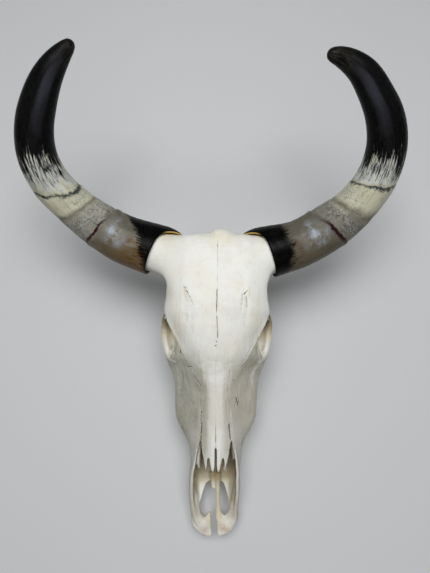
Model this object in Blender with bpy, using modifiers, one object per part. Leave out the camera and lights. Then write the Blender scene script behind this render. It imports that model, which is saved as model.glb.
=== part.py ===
"""Cow skull without its lower jaw, with polished horn sheaths on its horn cores, life size.

The skull lies face up as it rests on a floor: on the crowns of the cheek teeth in front and on
the two paracondylar processes behind. X runs across, the muzzle points to -Y, the poll to +Y, +Z
is up and the floor is Z = 0. Skull sizes are in millimetres, with Y = 0 at the back of the poll,
and every mesh is made in metres about the row's own origin.
"""

import math

import bmesh
import bpy
import numpy as np
from mathutils import Euler, Matrix, Vector

MM = 0.001
# From the skull's own Y = 0 to the row's origin, which is under the middle of the whole, horns in.
ORIGIN = np.array([5.6, 126.0, 0.0])

SKULL_LENGTH = 480.0  # back of the poll to the front of the premaxillae, along the floor
SUTURE_GAP = 0.4  # width of the thin cuts that part the bones
SKULL_TURN = 0.008  # radians that the skull is turned by under its horns

FORM_VOXEL = 3.0
FINE_VOXEL = 1.7
SKULL_FACES = 3600  # triangles for the skull's bones together

SHEATH_BORE = 74.0  # depth of the hollow in each horn sheath
BEAK_LENGTH = 43.0  # the pointed lip that each sheath's rim has on its rear side
BEAK_FLARE = 9.0  # how far the lip stands off the skull
BEAK_SPREAD = 0.5  # its spread round the rim, in radians
BEAK_ANGLE = math.radians(118)

# ---------------------------------------------------------------------------------------------
# Shared shaping tools


def clear_scene():
    for obj in list(bpy.data.objects):
        bpy.data.objects.remove(obj)


def curve_at(knots, values, where):
    """Values of a smooth curve through (knots, values), read at each place in where."""
    knots, values = np.asarray(knots, float), np.asarray(values, float)
    where = np.clip(np.asarray(where, float), knots.min(), knots.max())
    if knots[0] > knots[-1]:
        knots, values = knots[::-1], values[::-1]
    slopes = np.gradient(values, knots, axis=0)
    i = np.clip(np.searchsorted(knots, where, side="right") - 1, 0, len(knots) - 2)
    step = knots[i + 1] - knots[i]
    t = ((where - knots[i]) / step)[..., None]
    step = step[..., None]
    flat = values.reshape(len(knots), -1)
    slopes = slopes.reshape(len(knots), -1)
    read = (
        flat[i] * (2 * t**3 - 3 * t**2 + 1)
        + slopes[i] * step * (t**3 - 2 * t**2 + t)
        + flat[i + 1] * (3 * t**2 - 2 * t**3)
        + slopes[i + 1] * step * (t**3 - t**2)
    )
    return read.reshape(where.shape + values.shape[1:])


def finish_mesh(name, obj):
    obj.name = obj.data.name = name
    bpy.ops.object.mode_set(mode="EDIT")
    bpy.ops.mesh.select_all(action="SELECT")
    bpy.ops.mesh.normals_make_consistent(inside=False)
    bpy.ops.object.mode_set(mode="OBJECT")
    return obj


def deselect():
    for obj in bpy.context.selected_objects:
        obj.select_set(False)


def tube(name, rings, around, place):
    """A filled circle extruded ring by ring; place(share, angle) then gives each vertex, in mm."""
    deselect()
    bpy.ops.mesh.primitive_circle_add(vertices=around, radius=1.0, fill_type="NGON")
    obj = bpy.context.object
    bpy.ops.object.mode_set(mode="EDIT")
    for _ in range(rings - 1):
        bpy.ops.mesh.extrude_region_move(TRANSFORM_OT_translate={"value": (0, 0, 1)})
    bpy.ops.object.mode_set(mode="OBJECT")
    co = np.zeros(len(obj.data.vertices) * 3)
    obj.data.vertices.foreach_get("co", co)
    co = co.reshape(-1, 3)
    share = np.round(co[:, 2]) / (rings - 1)
    angle = np.arctan2(co[:, 1], co[:, 0]) % (2 * math.pi)
    placed = (place(share, angle) + ORIGIN) * MM
    obj.data.vertices.foreach_set("co", placed.ravel())
    return finish_mesh(name, obj)


def loft(name, stations, rings=40, around=48):
    """A body across the midline. A station is (y, half profile), the profile from top to bottom."""
    ys = [y for y, _ in stations]
    profiles = np.array([profile for _, profile in stations], float)
    count = profiles.shape[1]
    knots = np.arange(-2, 2 * count)

    def place(share, angle):
        y = ys[0] + (ys[-1] - ys[0]) * share
        half = curve_at(ys, profiles, y)
        mirrored = half[:, ::-1][:, 1:-1] * [-1, 1]
        whole = np.concatenate([half, mirrored], axis=1)
        loop = np.concatenate([whole[:, -2:], whole, whole[:, :2]], axis=1)
        turn = angle / (2 * math.pi) * (2 * count - 2)
        out = np.empty((len(y), 3))
        for i in range(len(y)):
            out[i, [0, 2]] = curve_at(knots, loop[i], turn[i : i + 1])[0]
        out[:, 1] = y
        return out

    return tube(name, rings, around, place)


def bar(name, path, radii, rings=32, around=24, up=(0, 0, 1)):
    """A tapered bar along a smooth path. A radius is (half thickness across, half height up)."""
    path, radii = np.asarray(path, float), np.asarray(radii, float)
    spans = np.linalg.norm(np.diff(path, axis=0), axis=1)
    knots = np.concatenate([[0], np.cumsum(spans)])

    def place(share, angle):
        along = share * knots[-1]
        centre = curve_at(knots, path, along)
        ahead = curve_at(knots, path, along + 0.5) - curve_at(knots, path, along - 0.5)
        ahead /= np.linalg.norm(ahead, axis=1)[:, None]
        side = np.cross(ahead, np.asarray(up, float))
        side /= np.linalg.norm(side, axis=1)[:, None]
        top = np.cross(side, ahead)
        size = curve_at(knots, radii, along)
        return (
            centre
            + side * (size[:, 0] * np.cos(angle))[:, None]
            + top * (size[:, 1] * np.sin(angle))[:, None]
        )

    return tube(name, rings, around, place)


def ball(name, centre, radii, turn=(0, 0, 0)):
    """An ellipsoid, in mm, turned by degrees about X, Y and Z."""
    deselect()
    bpy.ops.mesh.primitive_uv_sphere_add(segments=32, ring_count=20, radius=1.0)
    obj = bpy.context.object
    place = Matrix.Translation(Vector((np.array(centre) + ORIGIN) * MM))
    turned = Euler([math.radians(a) for a in turn]).to_matrix().to_4x4()
    size = Matrix.Diagonal((*[r * MM for r in radii], 1.0))
    obj.data.transform(place @ turned @ size)
    return finish_mesh(name, obj)


def apply_modifier(obj, kind, **settings):
    modifier = obj.modifiers.new(kind.title(), kind)
    for key, value in settings.items():
        setattr(modifier, key, value)
    deselect()
    obj.select_set(True)
    bpy.context.view_layer.objects.active = obj
    bpy.ops.object.modifier_apply(modifier=modifier.name)
    return obj


def mirror_pair(obj):
    """Adds the other side's copy, across the skull's midline."""
    half = np.array(ORIGIN) * MM
    obj.data.transform(Matrix.Translation((-half[0], 0, 0)))
    apply_modifier(obj, "MIRROR", use_mirror_merge=False)
    obj.data.transform(Matrix.Translation((half[0], 0, 0)))
    return obj


def join(name, parts):
    deselect()
    for obj in parts:
        obj.select_set(True)
    bpy.context.view_layer.objects.active = parts[0]
    if len(parts) > 1:
        bpy.ops.object.join()
    parts[0].name = parts[0].data.name = name
    return parts[0]


def melt(name, parts, voxel, smoothing):
    """Joins overlapping forms into one closed skin and softens it."""
    obj = join(name, parts)
    apply_modifier(obj, "REMESH", mode="VOXEL", voxel_size=voxel * MM, adaptivity=0.0)
    if smoothing:
        apply_modifier(obj, "SMOOTH", factor=0.5, iterations=smoothing)
    return obj


def keep_largest(obj):
    """Leaves the largest of a mesh's separate bodies."""
    mesh = bmesh.new()
    mesh.from_mesh(obj.data)
    left = set(mesh.verts)
    bodies = []
    while left:
        body, edge = set(), [next(iter(left))]
        while edge:
            vert = edge.pop()
            if vert in left:
                left.discard(vert)
                body.add(vert)
                edge += [e.other_vert(vert) for e in vert.link_edges]
        bodies.append(body)
    bodies.sort(key=len)
    bmesh.ops.delete(mesh, geom=[v for body in bodies[:-1] for v in body], context="VERTS")
    mesh.to_mesh(obj.data)
    mesh.free()
    return obj


def is_closed(obj):
    mesh = bmesh.new()
    mesh.from_mesh(obj.data)
    closed = len(mesh.faces) > 3 and all(len(edge.link_faces) == 2 for edge in mesh.edges)
    mesh.free()
    return closed


def combine(obj, other, operation):
    """A Boolean by the exact solver, or by the manifold one where the exact one leaves a hole."""
    whole = obj.data.copy()
    for solver in ("EXACT", "MANIFOLD"):
        apply_modifier(obj, "BOOLEAN", object=other, operation=operation, solver=solver)
        if is_closed(obj):
            break
        obj.data = whole.copy()
    return obj


def cut(obj, cutter):
    combine(obj, cutter, "DIFFERENCE")
    bpy.data.objects.remove(cutter)
    return obj


# ---------------------------------------------------------------------------------------------
# The skull's masses. Profiles run from the roof's middle to the palate's middle.


def face_mass():
    """Nasal roof, cheeks and palate, from the front of the cheek teeth back to the orbits."""
    stations = [
        (-332, [(0, 122), (18, 118), (33, 100), (44, 66), (45, 40), (36, 24), (25, 30), (0, 34)]),
        (-307, [(0, 130), (21, 125), (36, 104), (56, 68), (51, 36), (46, 20), (30, 28), (0, 33)]),
        (-286, [(0, 136), (22, 131), (40, 108), (66, 72), (57, 36), (51, 17), (33, 26), (0, 32)]),
        (-260, [(0, 143), (24, 138), (44, 114), (70, 78), (58, 38), (53, 17), (34, 26), (0, 32)]),
        (-232, [(0, 151), (27, 146), (50, 124), (70, 88), (58, 40), (53, 18), (34, 28), (0, 34)]),
        (-211, [(0, 158), (31, 153), (54, 134), (70, 98), (56, 50), (48, 24), (32, 32), (0, 38)]),
        (-190, [(0, 166), (37, 161), (59, 144), (74, 106), (50, 62), (36, 46), (24, 44), (0, 46)]),
        (-168, [(0, 172), (44, 167), (64, 152), (74, 112), (46, 72), (32, 60), (20, 56), (0, 54)]),
        (-145, [(0, 178), (44, 170), (60, 150), (60, 112), (40, 80), (26, 68), (14, 60), (0, 58)]),
    ]
    return loft("face", stations)


def frontal_mass():
    """The flat forehead from the nasal root to the poll, overhanging the temples."""
    table = [
        # y, half width, height in the middle, height at the edge
        (4, 40, 180, 172),
        (-4, 60, 192, 172),
        (-18, 76, 198, 170),
        (-40, 86, 200, 168),
        (-62, 80, 200, 170),
        (-88, 73, 198, 172),
        (-104, 75, 196, 170),
        (-121, 81, 193, 163),
        (-135, 78, 189, 160),
        (-150, 69, 185, 158),
        (-167, 60, 178, 154),
        (-185, 52, 170, 150),
        (-210, 43, 160, 144),
        (-238, 32, 149, 138),
    ]
    stations = [
        (y, [(0, top), (0.62 * w, top - 3), (w, edge), (0.86 * w, edge - 12), (0, top - 45)])
        for y, w, top, edge in table
    ]
    return loft("frontal", stations)


def middle_masses():
    """Braincase, back of the skull and the bar of the skull's base."""
    return [
        ball("braincase", (0, -72, 128), (53, 74, 56)),
        ball("temporal_mass", (0, -44, 106), (68, 36, 40)),
        ball("nuchal_mass", (0, -26, 128), (66, 22, 62)),
        ball("poll", (6, -14, 180), (24, 20, 18)),
        bar("base", [(0, -12, 62), (0, -60, 58), (0, -120, 62), (0, -200, 70)],
            [(24, 12), (20, 12), (16, 11), (14, 12)]),
    ]


def side_masses():
    """Forms of the right side: orbit, arch, processes, teeth, muzzle and horn core."""
    rim = [(80, -121, 160), (88, -116, 142), (90, -120, 118), (89, -136, 102), (87, -158, 98),
           (81, -177, 103), (72, -186, 118), (62, -184, 138), (58, -170, 150), (66, -152, 157),
           (75, -136, 161), (80, -121, 160)]
    rim_size = [(5.5, 5.5), (5, 5), (5, 6), (5, 6), (5, 7), (6, 7), (6, 7), (6, 6), (6, 6),
                (5, 5), (5, 5), (5.5, 5.5)]
    forms = [
        bar("orbit_rim", rim, rim_size, rings=60, up=(1, 0, 0.01)),
        ball("orbit_floor", (68, -150, 88), (22, 34, 11), (0, -20, 0)),
        bar("zygomatic",
            [(64, -246, 84), (72, -212, 90), (80, -186, 94), (85, -160, 95), (86, -132, 97),
             (85, -104, 101), (80, -80, 105), (68, -58, 106)],
            [(6, 10), (7, 15), (6, 14), (5, 11), (6, 9), (6, 7.5), (6, 8), (7, 10)]),
        ball("articular_tubercle", (58, -80, 92), (28, 18, 11)),
        ball("mastoid", (66, -42, 104), (16, 20, 26)),
        bar("paracondylar_process",
            [(46, -26, 92), (46, -28, 60), (42, -33, 24), (39, -38, 0)],
            [(13, 11), (10, 9), (7, 6), (5, 4.5)], up=(0, 1, 0)),
        ball("condyle", (22, -7, 66), (13, 17, 20), (20, 0, -25)),
        ball("bulla", (34, -66, 50), (11, 17, 14)),
        bar("pterygoid_plate",
            [(27, -214, 48), (23, -190, 50), (20, -160, 56), (18, -136, 64)],
            [(3.5, 18), (3.5, 17), (3.5, 14), (3.5, 8)]),
    ]
    return [mirror_pair(form) for form in forms]


def horn_cores():
    """The two cores, each running into its own sheath."""
    left = [(-44, -44, 166), (-72, -34, 162), (-101, -22, 158), (-130, -10, 158), (-138, -7, 158)]
    right = [(44, -44, 166), (62, -35, 162), (84, -25, 158), (116, -14, 159), (124, -11, 159)]
    size = [(36, 24), (36, 31), (34, 34), (29, 29), (16, 16)]
    return [bar("horn_core_left", left, size), bar("horn_core_right", right, size)]


def cheek_teeth():
    """The right row: three one-lobed premolars and three two-lobed molars, crowns worn flat."""
    lobes = [(-328, 13, 38), (-312, 15, 40), (-295, 16, 42)]
    for start, length, x in ((-286, 24, 44), (-262, 26, 45), (-236, 27, 45)):
        lobes += [(start + length * 0.25, length / 2, x), (start + length * 0.75, length / 2, x)]
    teeth = []
    for y, length, x in lobes:
        deselect()
        place = Vector((np.array((x, y, 14.0)) + ORIGIN) * MM)
        bpy.ops.mesh.primitive_cube_add(size=1.0)
        tooth = bpy.context.object
        size = Matrix.Diagonal((19 * MM, (length + 1.2) * MM, 28 * MM, 1.0))
        tooth.data.transform(Matrix.Translation(place) @ size)
        bpy.ops.object.mode_set(mode="EDIT")
        bpy.ops.mesh.select_all(action="SELECT")
        bpy.ops.mesh.bevel(offset=4.5 * MM, segments=2, affect="EDGES")
        bpy.ops.object.mode_set(mode="OBJECT")
        flat = [v for v in tooth.data.vertices if v.co.z < 4.6 * MM]
        for v in flat:
            v.co.z = 0.0 if v.co.z < 1.5 * MM else 2.0 * MM
        teeth.append(finish_mesh("tooth", tooth))
    return mirror_pair(join("cheek_teeth", teeth))


def muzzle():
    """The thin walls beside the nose opening, the premaxillae's plates and the palate's front."""
    wall = bar("wall",
               [(40, -300, 66), (39, -330, 66), (38.5, -352, 64), (38.5, -385, 56), (38, -420, 46),
                (35, -446, 38), (28, -462, 33), (16, -472, 29), (8, -474, 28)],
               [(7, 38), (5, 36), (4, 28), (3.6, 18), (3.6, 10), (5, 6), (8, 5), (7, 4), (4, 3)],
               rings=60)
    plate = ball("plate", (19.5, -461, 33), (16, 19, 4.2), (14, 0, 0))
    palate = slab("palate",
                  [(-2, -290), (36, -290), (38, -350), (37, -396), (33, -414), (27, -428), (24, -412),
                   (20, -398), (12, -391), (-2, -389)], 33.5, 40)
    spine = bar("palatine_process", [(4.8, -384, 40), (4.6, -420, 39), (5.4, -450, 36)],
                [(3.2, 3.4), (3, 3), (3.4, 3)])
    return [mirror_pair(wall), mirror_pair(plate), mirror_pair(palate), spine,
            bar("spine_stub", [(-3, -382, 40), (-3.4, -398, 39.5)], [(3.6, 3.4), (2, 2.2)]),
            bar("spine_root", [(-6.5, -452, 36), (-6, -438, 37)], [(3.6, 3), (1.8, 2)])]


def slab(name, outline, low, high):
    """A flat plate: an outline in plan, with its lower and upper height."""
    deselect()
    mesh = bpy.data.meshes.new(name)
    points = [tuple((np.array((x, y, low)) + ORIGIN) * MM) for x, y in outline]
    mesh.from_pydata(points, [], [tuple(range(len(points)))])
    obj = bpy.data.objects.new(name, mesh)
    bpy.context.scene.collection.objects.link(obj)
    bpy.context.view_layer.objects.active = obj
    bpy.ops.object.mode_set(mode="EDIT")
    bpy.ops.mesh.select_all(action="SELECT")
    up = {"value": (0, 0, (high - low) * MM)}
    bpy.ops.mesh.extrude_region_move(TRANSFORM_OT_translate=up)
    bpy.ops.object.mode_set(mode="OBJECT")
    return finish_mesh(name, obj)


def nasal_plates():
    """The two nasal bones' free front ends, each forked into an inner and an outer prong."""
    outline = [(0.9, -296), (0.9, -324), (1.6, -345), (3.2, -365), (6.4, -354), (10, -339),
               (12.6, -351), (15.2, -363), (19.4, -347), (22.2, -331), (24.2, -312), (24.6, -296)]
    plate = melt("nasal_plates", [slab("nasal_plate", outline, 129, 134.5)], 1.5, 0)
    co = np.zeros(len(plate.data.vertices) * 3)
    plate.data.vertices.foreach_get("co", co)
    co = co.reshape(-1, 3) / MM - ORIGIN
    ridge = curve_at([-380, -355, -330, -300, -280], [104, 114, 123, 131, 136], co[:, 1])
    edge = np.abs(co[:, 0]) / 26
    co[:, 2] += ridge - 134 - 15 * edge**2.2
    plate.data.vertices.foreach_set("co", ((co + ORIGIN) * MM).ravel())
    return mirror_pair(plate)


def cavities():
    """What is hollow: nose, orbits, the back of the palate and the foramen magnum."""
    nose = loft(
        "nose_cavity",
        [
            (-360, [(0, 150), (24, 140), (33, 100), (34.5, 66), (32, 42), (0, 41)]),
            (-320, [(0, 150), (24, 140), (30, 100), (35, 70), (34, 42), (0, 41)]),
            (-304, [(0, 126), (17, 121), (28, 100), (36, 72), (34, 42), (0, 41)]),
            (-280, [(0, 124), (14, 118), (26, 100), (34, 76), (30, 46), (0, 44)]),
            (-240, [(0, 110), (8, 108), (14, 96), (16, 82), (10, 66), (0, 62)]),
        ],
    )
    choana = bar("choana", [(0, -160, 40), (0, -205, 58), (0, -240, 74)], [(15, 18), (14, 14), (8, 8)])
    magnum = bar("magnum", [(0, 20, 84), (0, -14, 84), (0, -50, 90)], [(17, 15), (16, 14), (10, 10)])
    orbit = bar("orbit_cavity",
                [(130, -156, 136), (96, -153, 134), (72, -150, 131), (46, -136, 126), (30, -124, 120)],
                [(31, 28), (30, 27), (28, 25), (19, 17), (9, 9)])
    return join("cavities", [nose, choana, magnum, mirror_pair(orbit)])


def build_skull():
    body = melt("skull", [face_mass(), frontal_mass(), *middle_masses()], FORM_VOXEL, 8)
    body = melt("skull", [body, *side_masses(), *horn_cores()], FORM_VOXEL, 8)
    cut(body, melt("cavities", [cavities()], FORM_VOXEL, 2))
    fine = [*muzzle(), nasal_plates(), cheek_teeth()]
    body = keep_largest(melt("skull", [body, *fine], FINE_VOXEL, 2))
    apply_modifier(body, "DECIMATE", ratio=SKULL_FACES / (2 * len(body.data.polygons)))
    return body


# ---------------------------------------------------------------------------------------------
# The horn sheaths


def horn_sheath(name, path, widths, around=18):
    """A sheath from its beaked rim to its blunt tip, with the bore that takes the horn core."""
    path, widths = np.asarray(path, float), np.asarray(widths, float)
    side_sign = math.copysign(1, path[0, 0])
    knots = np.concatenate([[0], np.cumsum(np.linalg.norm(np.diff(path, axis=0), axis=1))])
    length = knots[-1]
    bore = [(SHEATH_BORE, 0.0), (SHEATH_BORE, 0.45), (SHEATH_BORE - 9, 0.78), (62, 0.89), (40, 0.9),
            (20, 0.905), (6, 0.91), (0, 0.93)]
    outer = [(0.2, 0.985), (2.5, 1.0), (8, 1.0), (20, 1.0)]
    outer += [(20 + (length - 24) * i / 13, 1.0) for i in range(1, 14)]
    outer += [(length + 1, 0.86), (length + 4.5, 0.55), (length + 6, 0.2)]
    meridian = np.array(bore[1:] + outer)
    normal = np.array((-0.16 * side_sign, -0.66, 0.76))

    def place(share, angle):
        ring = np.clip(np.round(share * (len(meridian) - 1)).astype(int), 0, len(meridian) - 1)
        along, scale = meridian[ring].T
        to_back = np.abs((angle - BEAK_ANGLE + math.pi) % (2 * math.pi) - math.pi)
        beak = BEAK_LENGTH * np.exp(-((to_back / BEAK_SPREAD) ** 2))
        fade = np.clip(1 - along / 60, 0, 1) ** 1.5
        moved = along - beak * fade
        inside = np.clip(moved, 0, length)
        centre = curve_at(knots, path, inside)
        ahead = curve_at(knots, path, inside + 1) - curve_at(knots, path, inside - 1)
        ahead /= np.linalg.norm(ahead, axis=1)[:, None]
        centre += ahead * (moved - inside)[:, None]
        top = np.cross(np.cross(ahead, normal), ahead)
        top /= np.linalg.norm(top, axis=1)[:, None]
        side = np.cross(top, ahead) * side_sign
        radius = curve_at(knots, widths / 2, inside) * scale + BEAK_FLARE * beak * fade / BEAK_LENGTH
        return (
            centre
            + top * (radius * np.cos(angle))[:, None]
            + side * (radius * np.sin(angle))[:, None]
        )

    return tube(name, len(meridian), around, place)


LEFT_HORN = [(-98, -20, 158), (-156, 5, 160), (-186, 20, 166), (-227, 49, 180), (-258, 77, 202),
             (-273, 111, 232), (-269, 144, 260), (-255, 168, 284), (-239, 190, 303),
             (-216, 215, 318), (-202, 227, 325)]
LEFT_WIDTHS = [80, 79, 73, 65, 62, 59, 55, 50, 42, 29, 18]
RIGHT_HORN = [(88, -23, 158), (137, -6, 160), (187, 19, 168), (225, 47, 184), (254, 84, 208),
              (262, 122, 238), (250, 156, 268), (237, 174, 282), (209, 202, 303), (177, 214, 316),
              (162, 213, 322)]
RIGHT_WIDTHS = [80, 78, 76, 67, 63, 60, 54, 49, 40, 27, 19]


def horn_sheaths():
    left = horn_sheath("horn_sheath_left", LEFT_HORN, LEFT_WIDTHS)
    right = horn_sheath("horn_sheath_right", RIGHT_HORN, RIGHT_WIDTHS)
    return [left, right]


# ---------------------------------------------------------------------------------------------
# Parting the skull into its bones. A region is closed, and a bone is what lies inside it.


def region(name, stations):
    """A straight-sided body through the stations, each (y, its corners as x and z)."""
    count = len(stations[0][1])
    points = [tuple((np.array((x, y, z)) + ORIGIN) * MM) for y, ring in stations for x, z in ring]
    faces = [tuple(range(count))[::-1]]
    for row in range(len(stations) - 1):
        for i in range(count):
            a, b = row * count + i, row * count + (i + 1) % count
            faces.append((a, b, b + count, a + count))
    faces.append(tuple(range((len(stations) - 1) * count, len(stations) * count)))
    mesh = bpy.data.meshes.new(name)
    mesh.from_pydata(points, [], faces)
    obj = bpy.data.objects.new(name, mesh)
    bpy.context.scene.collection.objects.link(obj)
    bpy.context.view_layer.objects.active = obj
    bpy.ops.object.mode_set(mode="EDIT")
    bpy.ops.mesh.select_all(action="SELECT")
    bpy.ops.mesh.quads_convert_to_tris()
    bpy.ops.object.mode_set(mode="OBJECT")
    return finish_mesh(name, obj)


def above(inner, corners, top=260):
    """A region's ring that lies over a line of (x, z) corners, from the midline outwards."""
    return [(inner, corners[0][1]), *corners, (corners[-1][0], top), (inner, top)]


def box_ring(x0, z0, x1, z1):
    return [(x0, z0), (x1, z0), (x1, z1), (x0, z1)]


HALF_GAP = SUTURE_GAP / 2

SIDE_BONES = {
    "nasal": [
        (-385, box_ring(HALF_GAP, 86, 29, 220)),
        (-312, box_ring(HALF_GAP, 99, 28, 220)),
        (-300, box_ring(HALF_GAP, 117, 26, 220)),
        (-280, box_ring(HALF_GAP, 123, 26, 220)),
        (-240, box_ring(HALF_GAP, 134, 25, 220)),
        (-215, box_ring(HALF_GAP, 146, 20, 220)),
        (-196, box_ring(HALF_GAP, 156, 6, 220)),
    ],
    "frontal": [
        (-222, above(HALF_GAP + 0.02, [(28, 172), (50, 172), (200, 172)])),
        (-205, above(HALF_GAP + 0.02, [(28, 150), (48, 156), (200, 165)])),
        (-185, above(HALF_GAP + 0.02, [(36, 146), (56, 150), (200, 152)])),
        (-160, above(HALF_GAP + 0.02, [(40, 140), (60, 143), (200, 146)])),
        (-120, above(HALF_GAP + 0.02, [(40, 134), (62, 136), (200, 134)])),
        (-95, above(HALF_GAP + 0.02, [(50, 134), (66, 134), (200, 130)])),
        (-60, above(HALF_GAP + 0.02, [(58, 138), (72, 128), (200, 110)])),
        (45, above(HALF_GAP + 0.02, [(60, 140), (74, 127), (200, 100)])),
    ],
    "lacrimal": [
        (-252, box_ring(30, 122, 80, 136)),
        (-215, box_ring(22, 116, 90, 200)),
        (-165, box_ring(38, 118, 100, 200)),
        (-150, box_ring(50, 118, 100, 200)),
    ],
    "zygomatic": [
        (-268, box_ring(48, 76, 90, 86)),
        (-235, box_ring(46, 70, 100, 106)),
        (-200, box_ring(48, 70, 100, 112)),
        (-165, box_ring(44, 64, 110, 117)),
        (-130, box_ring(50, 64, 110, 150)),
        (-100, box_ring(64, 74, 110, 150)),
    ],
    "premaxilla": [
        (-500, box_ring(HALF_GAP + 0.1, -5, 60, 130)),
        (-396, box_ring(HALF_GAP + 0.1, -5, 60, 130)),
        (-378, box_ring(HALF_GAP + 0.1, 52, 60, 130)),
        (-344, box_ring(HALF_GAP + 0.1, 108, 60, 130)),
    ],
}

MIDDLE_BONES = {
    "occipital": [
        (-50, box_ring(-60, -5, 60, 68)),
        (-42, box_ring(-62, -5, 62, 72)),
        (-34, box_ring(-120, -5, 120, 250)),
        (40, box_ring(-120, -5, 120, 250)),
    ],
    "sphenoid": [
        (-150, box_ring(-27, 20, 27, 74)),
        (-40, box_ring(-27, 20, 27, 74)),
    ],
}

REST_BONES = {
    "temporal": [
        (-138, box_ring(HALF_GAP + 0.04, 60, 48, 250)),
        (-118, box_ring(HALF_GAP + 0.04, 30, 66, 250)),
        (-104, box_ring(HALF_GAP + 0.04, 15, 130, 250)),
        (-20, box_ring(HALF_GAP + 0.04, 15, 130, 250)),
    ],
    "maxilla": [
        (-500, box_ring(HALF_GAP + 0.06, -5, 130, 250)),
        (-60, box_ring(HALF_GAP + 0.06, -5, 130, 250)),
    ],
}


def copy_of(name, obj):
    twin = bpy.data.objects.new(name, obj.data.copy())
    bpy.context.scene.collection.objects.link(twin)
    twin.data.name = name
    return twin


def swell(obj):
    """Grows a closed shape by the width of a suture."""
    deselect()
    obj.select_set(True)
    bpy.context.view_layer.objects.active = obj
    bpy.ops.object.mode_set(mode="EDIT")
    bpy.ops.mesh.select_all(action="SELECT")
    bpy.ops.transform.shrink_fatten(value=SUTURE_GAP * MM, use_even_offset=True)
    bpy.ops.object.mode_set(mode="OBJECT")
    return obj


def carve(rest, name, shape):
    """Takes the bone inside a region out of the rest, with a thin gap left round it."""
    bone = copy_of(name, rest)
    combine(bone, shape, "INTERSECT")
    cut(rest, swell(shape))
    return keep_largest(bone)


def seat_sheaths(bones, sheaths):
    """Trims the bone round each horn's root clear of its sheath."""
    for bone in bones:
        for sheath in sheaths:
            if bone.name in ("occipital", sheath.name.replace("horn_sheath", "frontal")):
                keep_largest(cut(bone, swell(copy_of("seat", sheath))))


def mirrored(stations):
    return [(y, [(-x, z) for x, z in ring][::-1]) for y, ring in stations]


def part_bones(skull):
    bones = []
    order = [(name, stations, True) for name, stations in SIDE_BONES.items()]
    order += [(name, stations, False) for name, stations in MIDDLE_BONES.items()]
    order += [(name, stations, True) for name, stations in REST_BONES.items()]
    for name, stations, paired in order:
        if paired:
            bones.append(carve(skull, name + "_right", region("region", stations)))
            bones.append(carve(skull, name + "_left", region("region", mirrored(stations))))
        else:
            bones.append(carve(skull, name, region("region", stations)))
    bpy.data.objects.remove(skull)
    return bones


def turn_skull(bones):
    """The skull lies turned a little under its horns, about the front of the muzzle."""
    pivot = Vector((np.array((0, -SKULL_LENGTH, 0)) + ORIGIN) * MM)
    turn = Matrix.Translation(pivot) @ Matrix.Rotation(-SKULL_TURN, 4, "Z")
    for bone in bones:
        bone.data.transform(turn @ Matrix.Translation(-pivot))


def material(name, colour, roughness):
    made = bpy.data.materials.new(name)
    made.use_nodes = True
    shader = made.node_tree.nodes["Principled BSDF"]
    shader.inputs["Base Color"].default_value = (*colour, 1.0)
    shader.inputs["Roughness"].default_value = roughness
    return made


def main():
    clear_scene()
    bones = part_bones(build_skull())
    turn_skull(bones)
    home = bpy.data.collections.new("cow_skull")
    bpy.context.scene.collection.children.link(home)
    sheaths = horn_sheaths()
    seat_sheaths(bones, sheaths)
    for obj in bones + sheaths:
        horny = obj.name.startswith("horn_sheath")
        look = ((0.10, 0.09, 0.08), 0.22) if horny else ((0.80, 0.77, 0.68), 0.55)
        obj.data.materials.clear()
        obj.data.materials.append(material(obj.name, *look))
        for held in list(obj.users_collection):
            held.objects.unlink(obj)
        home.objects.link(obj)


main()
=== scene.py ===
"""Cow skull without its lower jaw, with polished horn sheaths, as a museum shows one.

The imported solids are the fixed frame. The skull is modelled here again as one fine skin, sculpted,
and parted into its bones along wavy sutures, so that no bone shows a step against its neighbour.
Each horn sheath is a tube from its beaked rim to its blunt tip. Sizes of the skull are in
millimetres with Y = 0 at the back of the poll; every mesh is in metres about the row's origin.
"""

import math
from contextlib import contextmanager

import bmesh
import bpy
import numpy as np
from bpy.props import FloatProperty, FloatVectorProperty, IntProperty, PointerProperty
from mathutils import Euler, Matrix, Vector


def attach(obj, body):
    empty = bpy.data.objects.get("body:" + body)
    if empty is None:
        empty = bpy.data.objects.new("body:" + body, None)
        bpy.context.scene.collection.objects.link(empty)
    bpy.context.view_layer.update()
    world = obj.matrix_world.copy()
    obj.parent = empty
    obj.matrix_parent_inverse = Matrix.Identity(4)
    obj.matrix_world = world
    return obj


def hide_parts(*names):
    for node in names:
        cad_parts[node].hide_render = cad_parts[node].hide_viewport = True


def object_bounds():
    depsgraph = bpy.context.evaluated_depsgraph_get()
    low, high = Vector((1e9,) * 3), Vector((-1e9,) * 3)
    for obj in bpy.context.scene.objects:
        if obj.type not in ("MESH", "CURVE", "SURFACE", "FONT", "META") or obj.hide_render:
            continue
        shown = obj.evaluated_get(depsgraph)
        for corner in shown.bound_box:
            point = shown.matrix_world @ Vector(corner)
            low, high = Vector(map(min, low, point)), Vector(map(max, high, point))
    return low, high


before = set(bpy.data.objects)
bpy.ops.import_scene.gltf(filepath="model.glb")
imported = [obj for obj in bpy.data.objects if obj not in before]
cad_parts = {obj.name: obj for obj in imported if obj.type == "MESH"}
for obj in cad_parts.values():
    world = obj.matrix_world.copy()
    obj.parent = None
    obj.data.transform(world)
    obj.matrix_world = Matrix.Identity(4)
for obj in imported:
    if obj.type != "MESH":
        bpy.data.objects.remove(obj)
CAD_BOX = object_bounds()

bl_info = {
    "name": "Cow skull with horns",
    "version": (1, 0, 0),
    "blender": (4, 5, 0),
    "location": "View3D > Sidebar > Skull",
    "description": "Models a bleached cow skull, its bones and its polished horn sheaths",
    "category": "Add Mesh",
}

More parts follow.
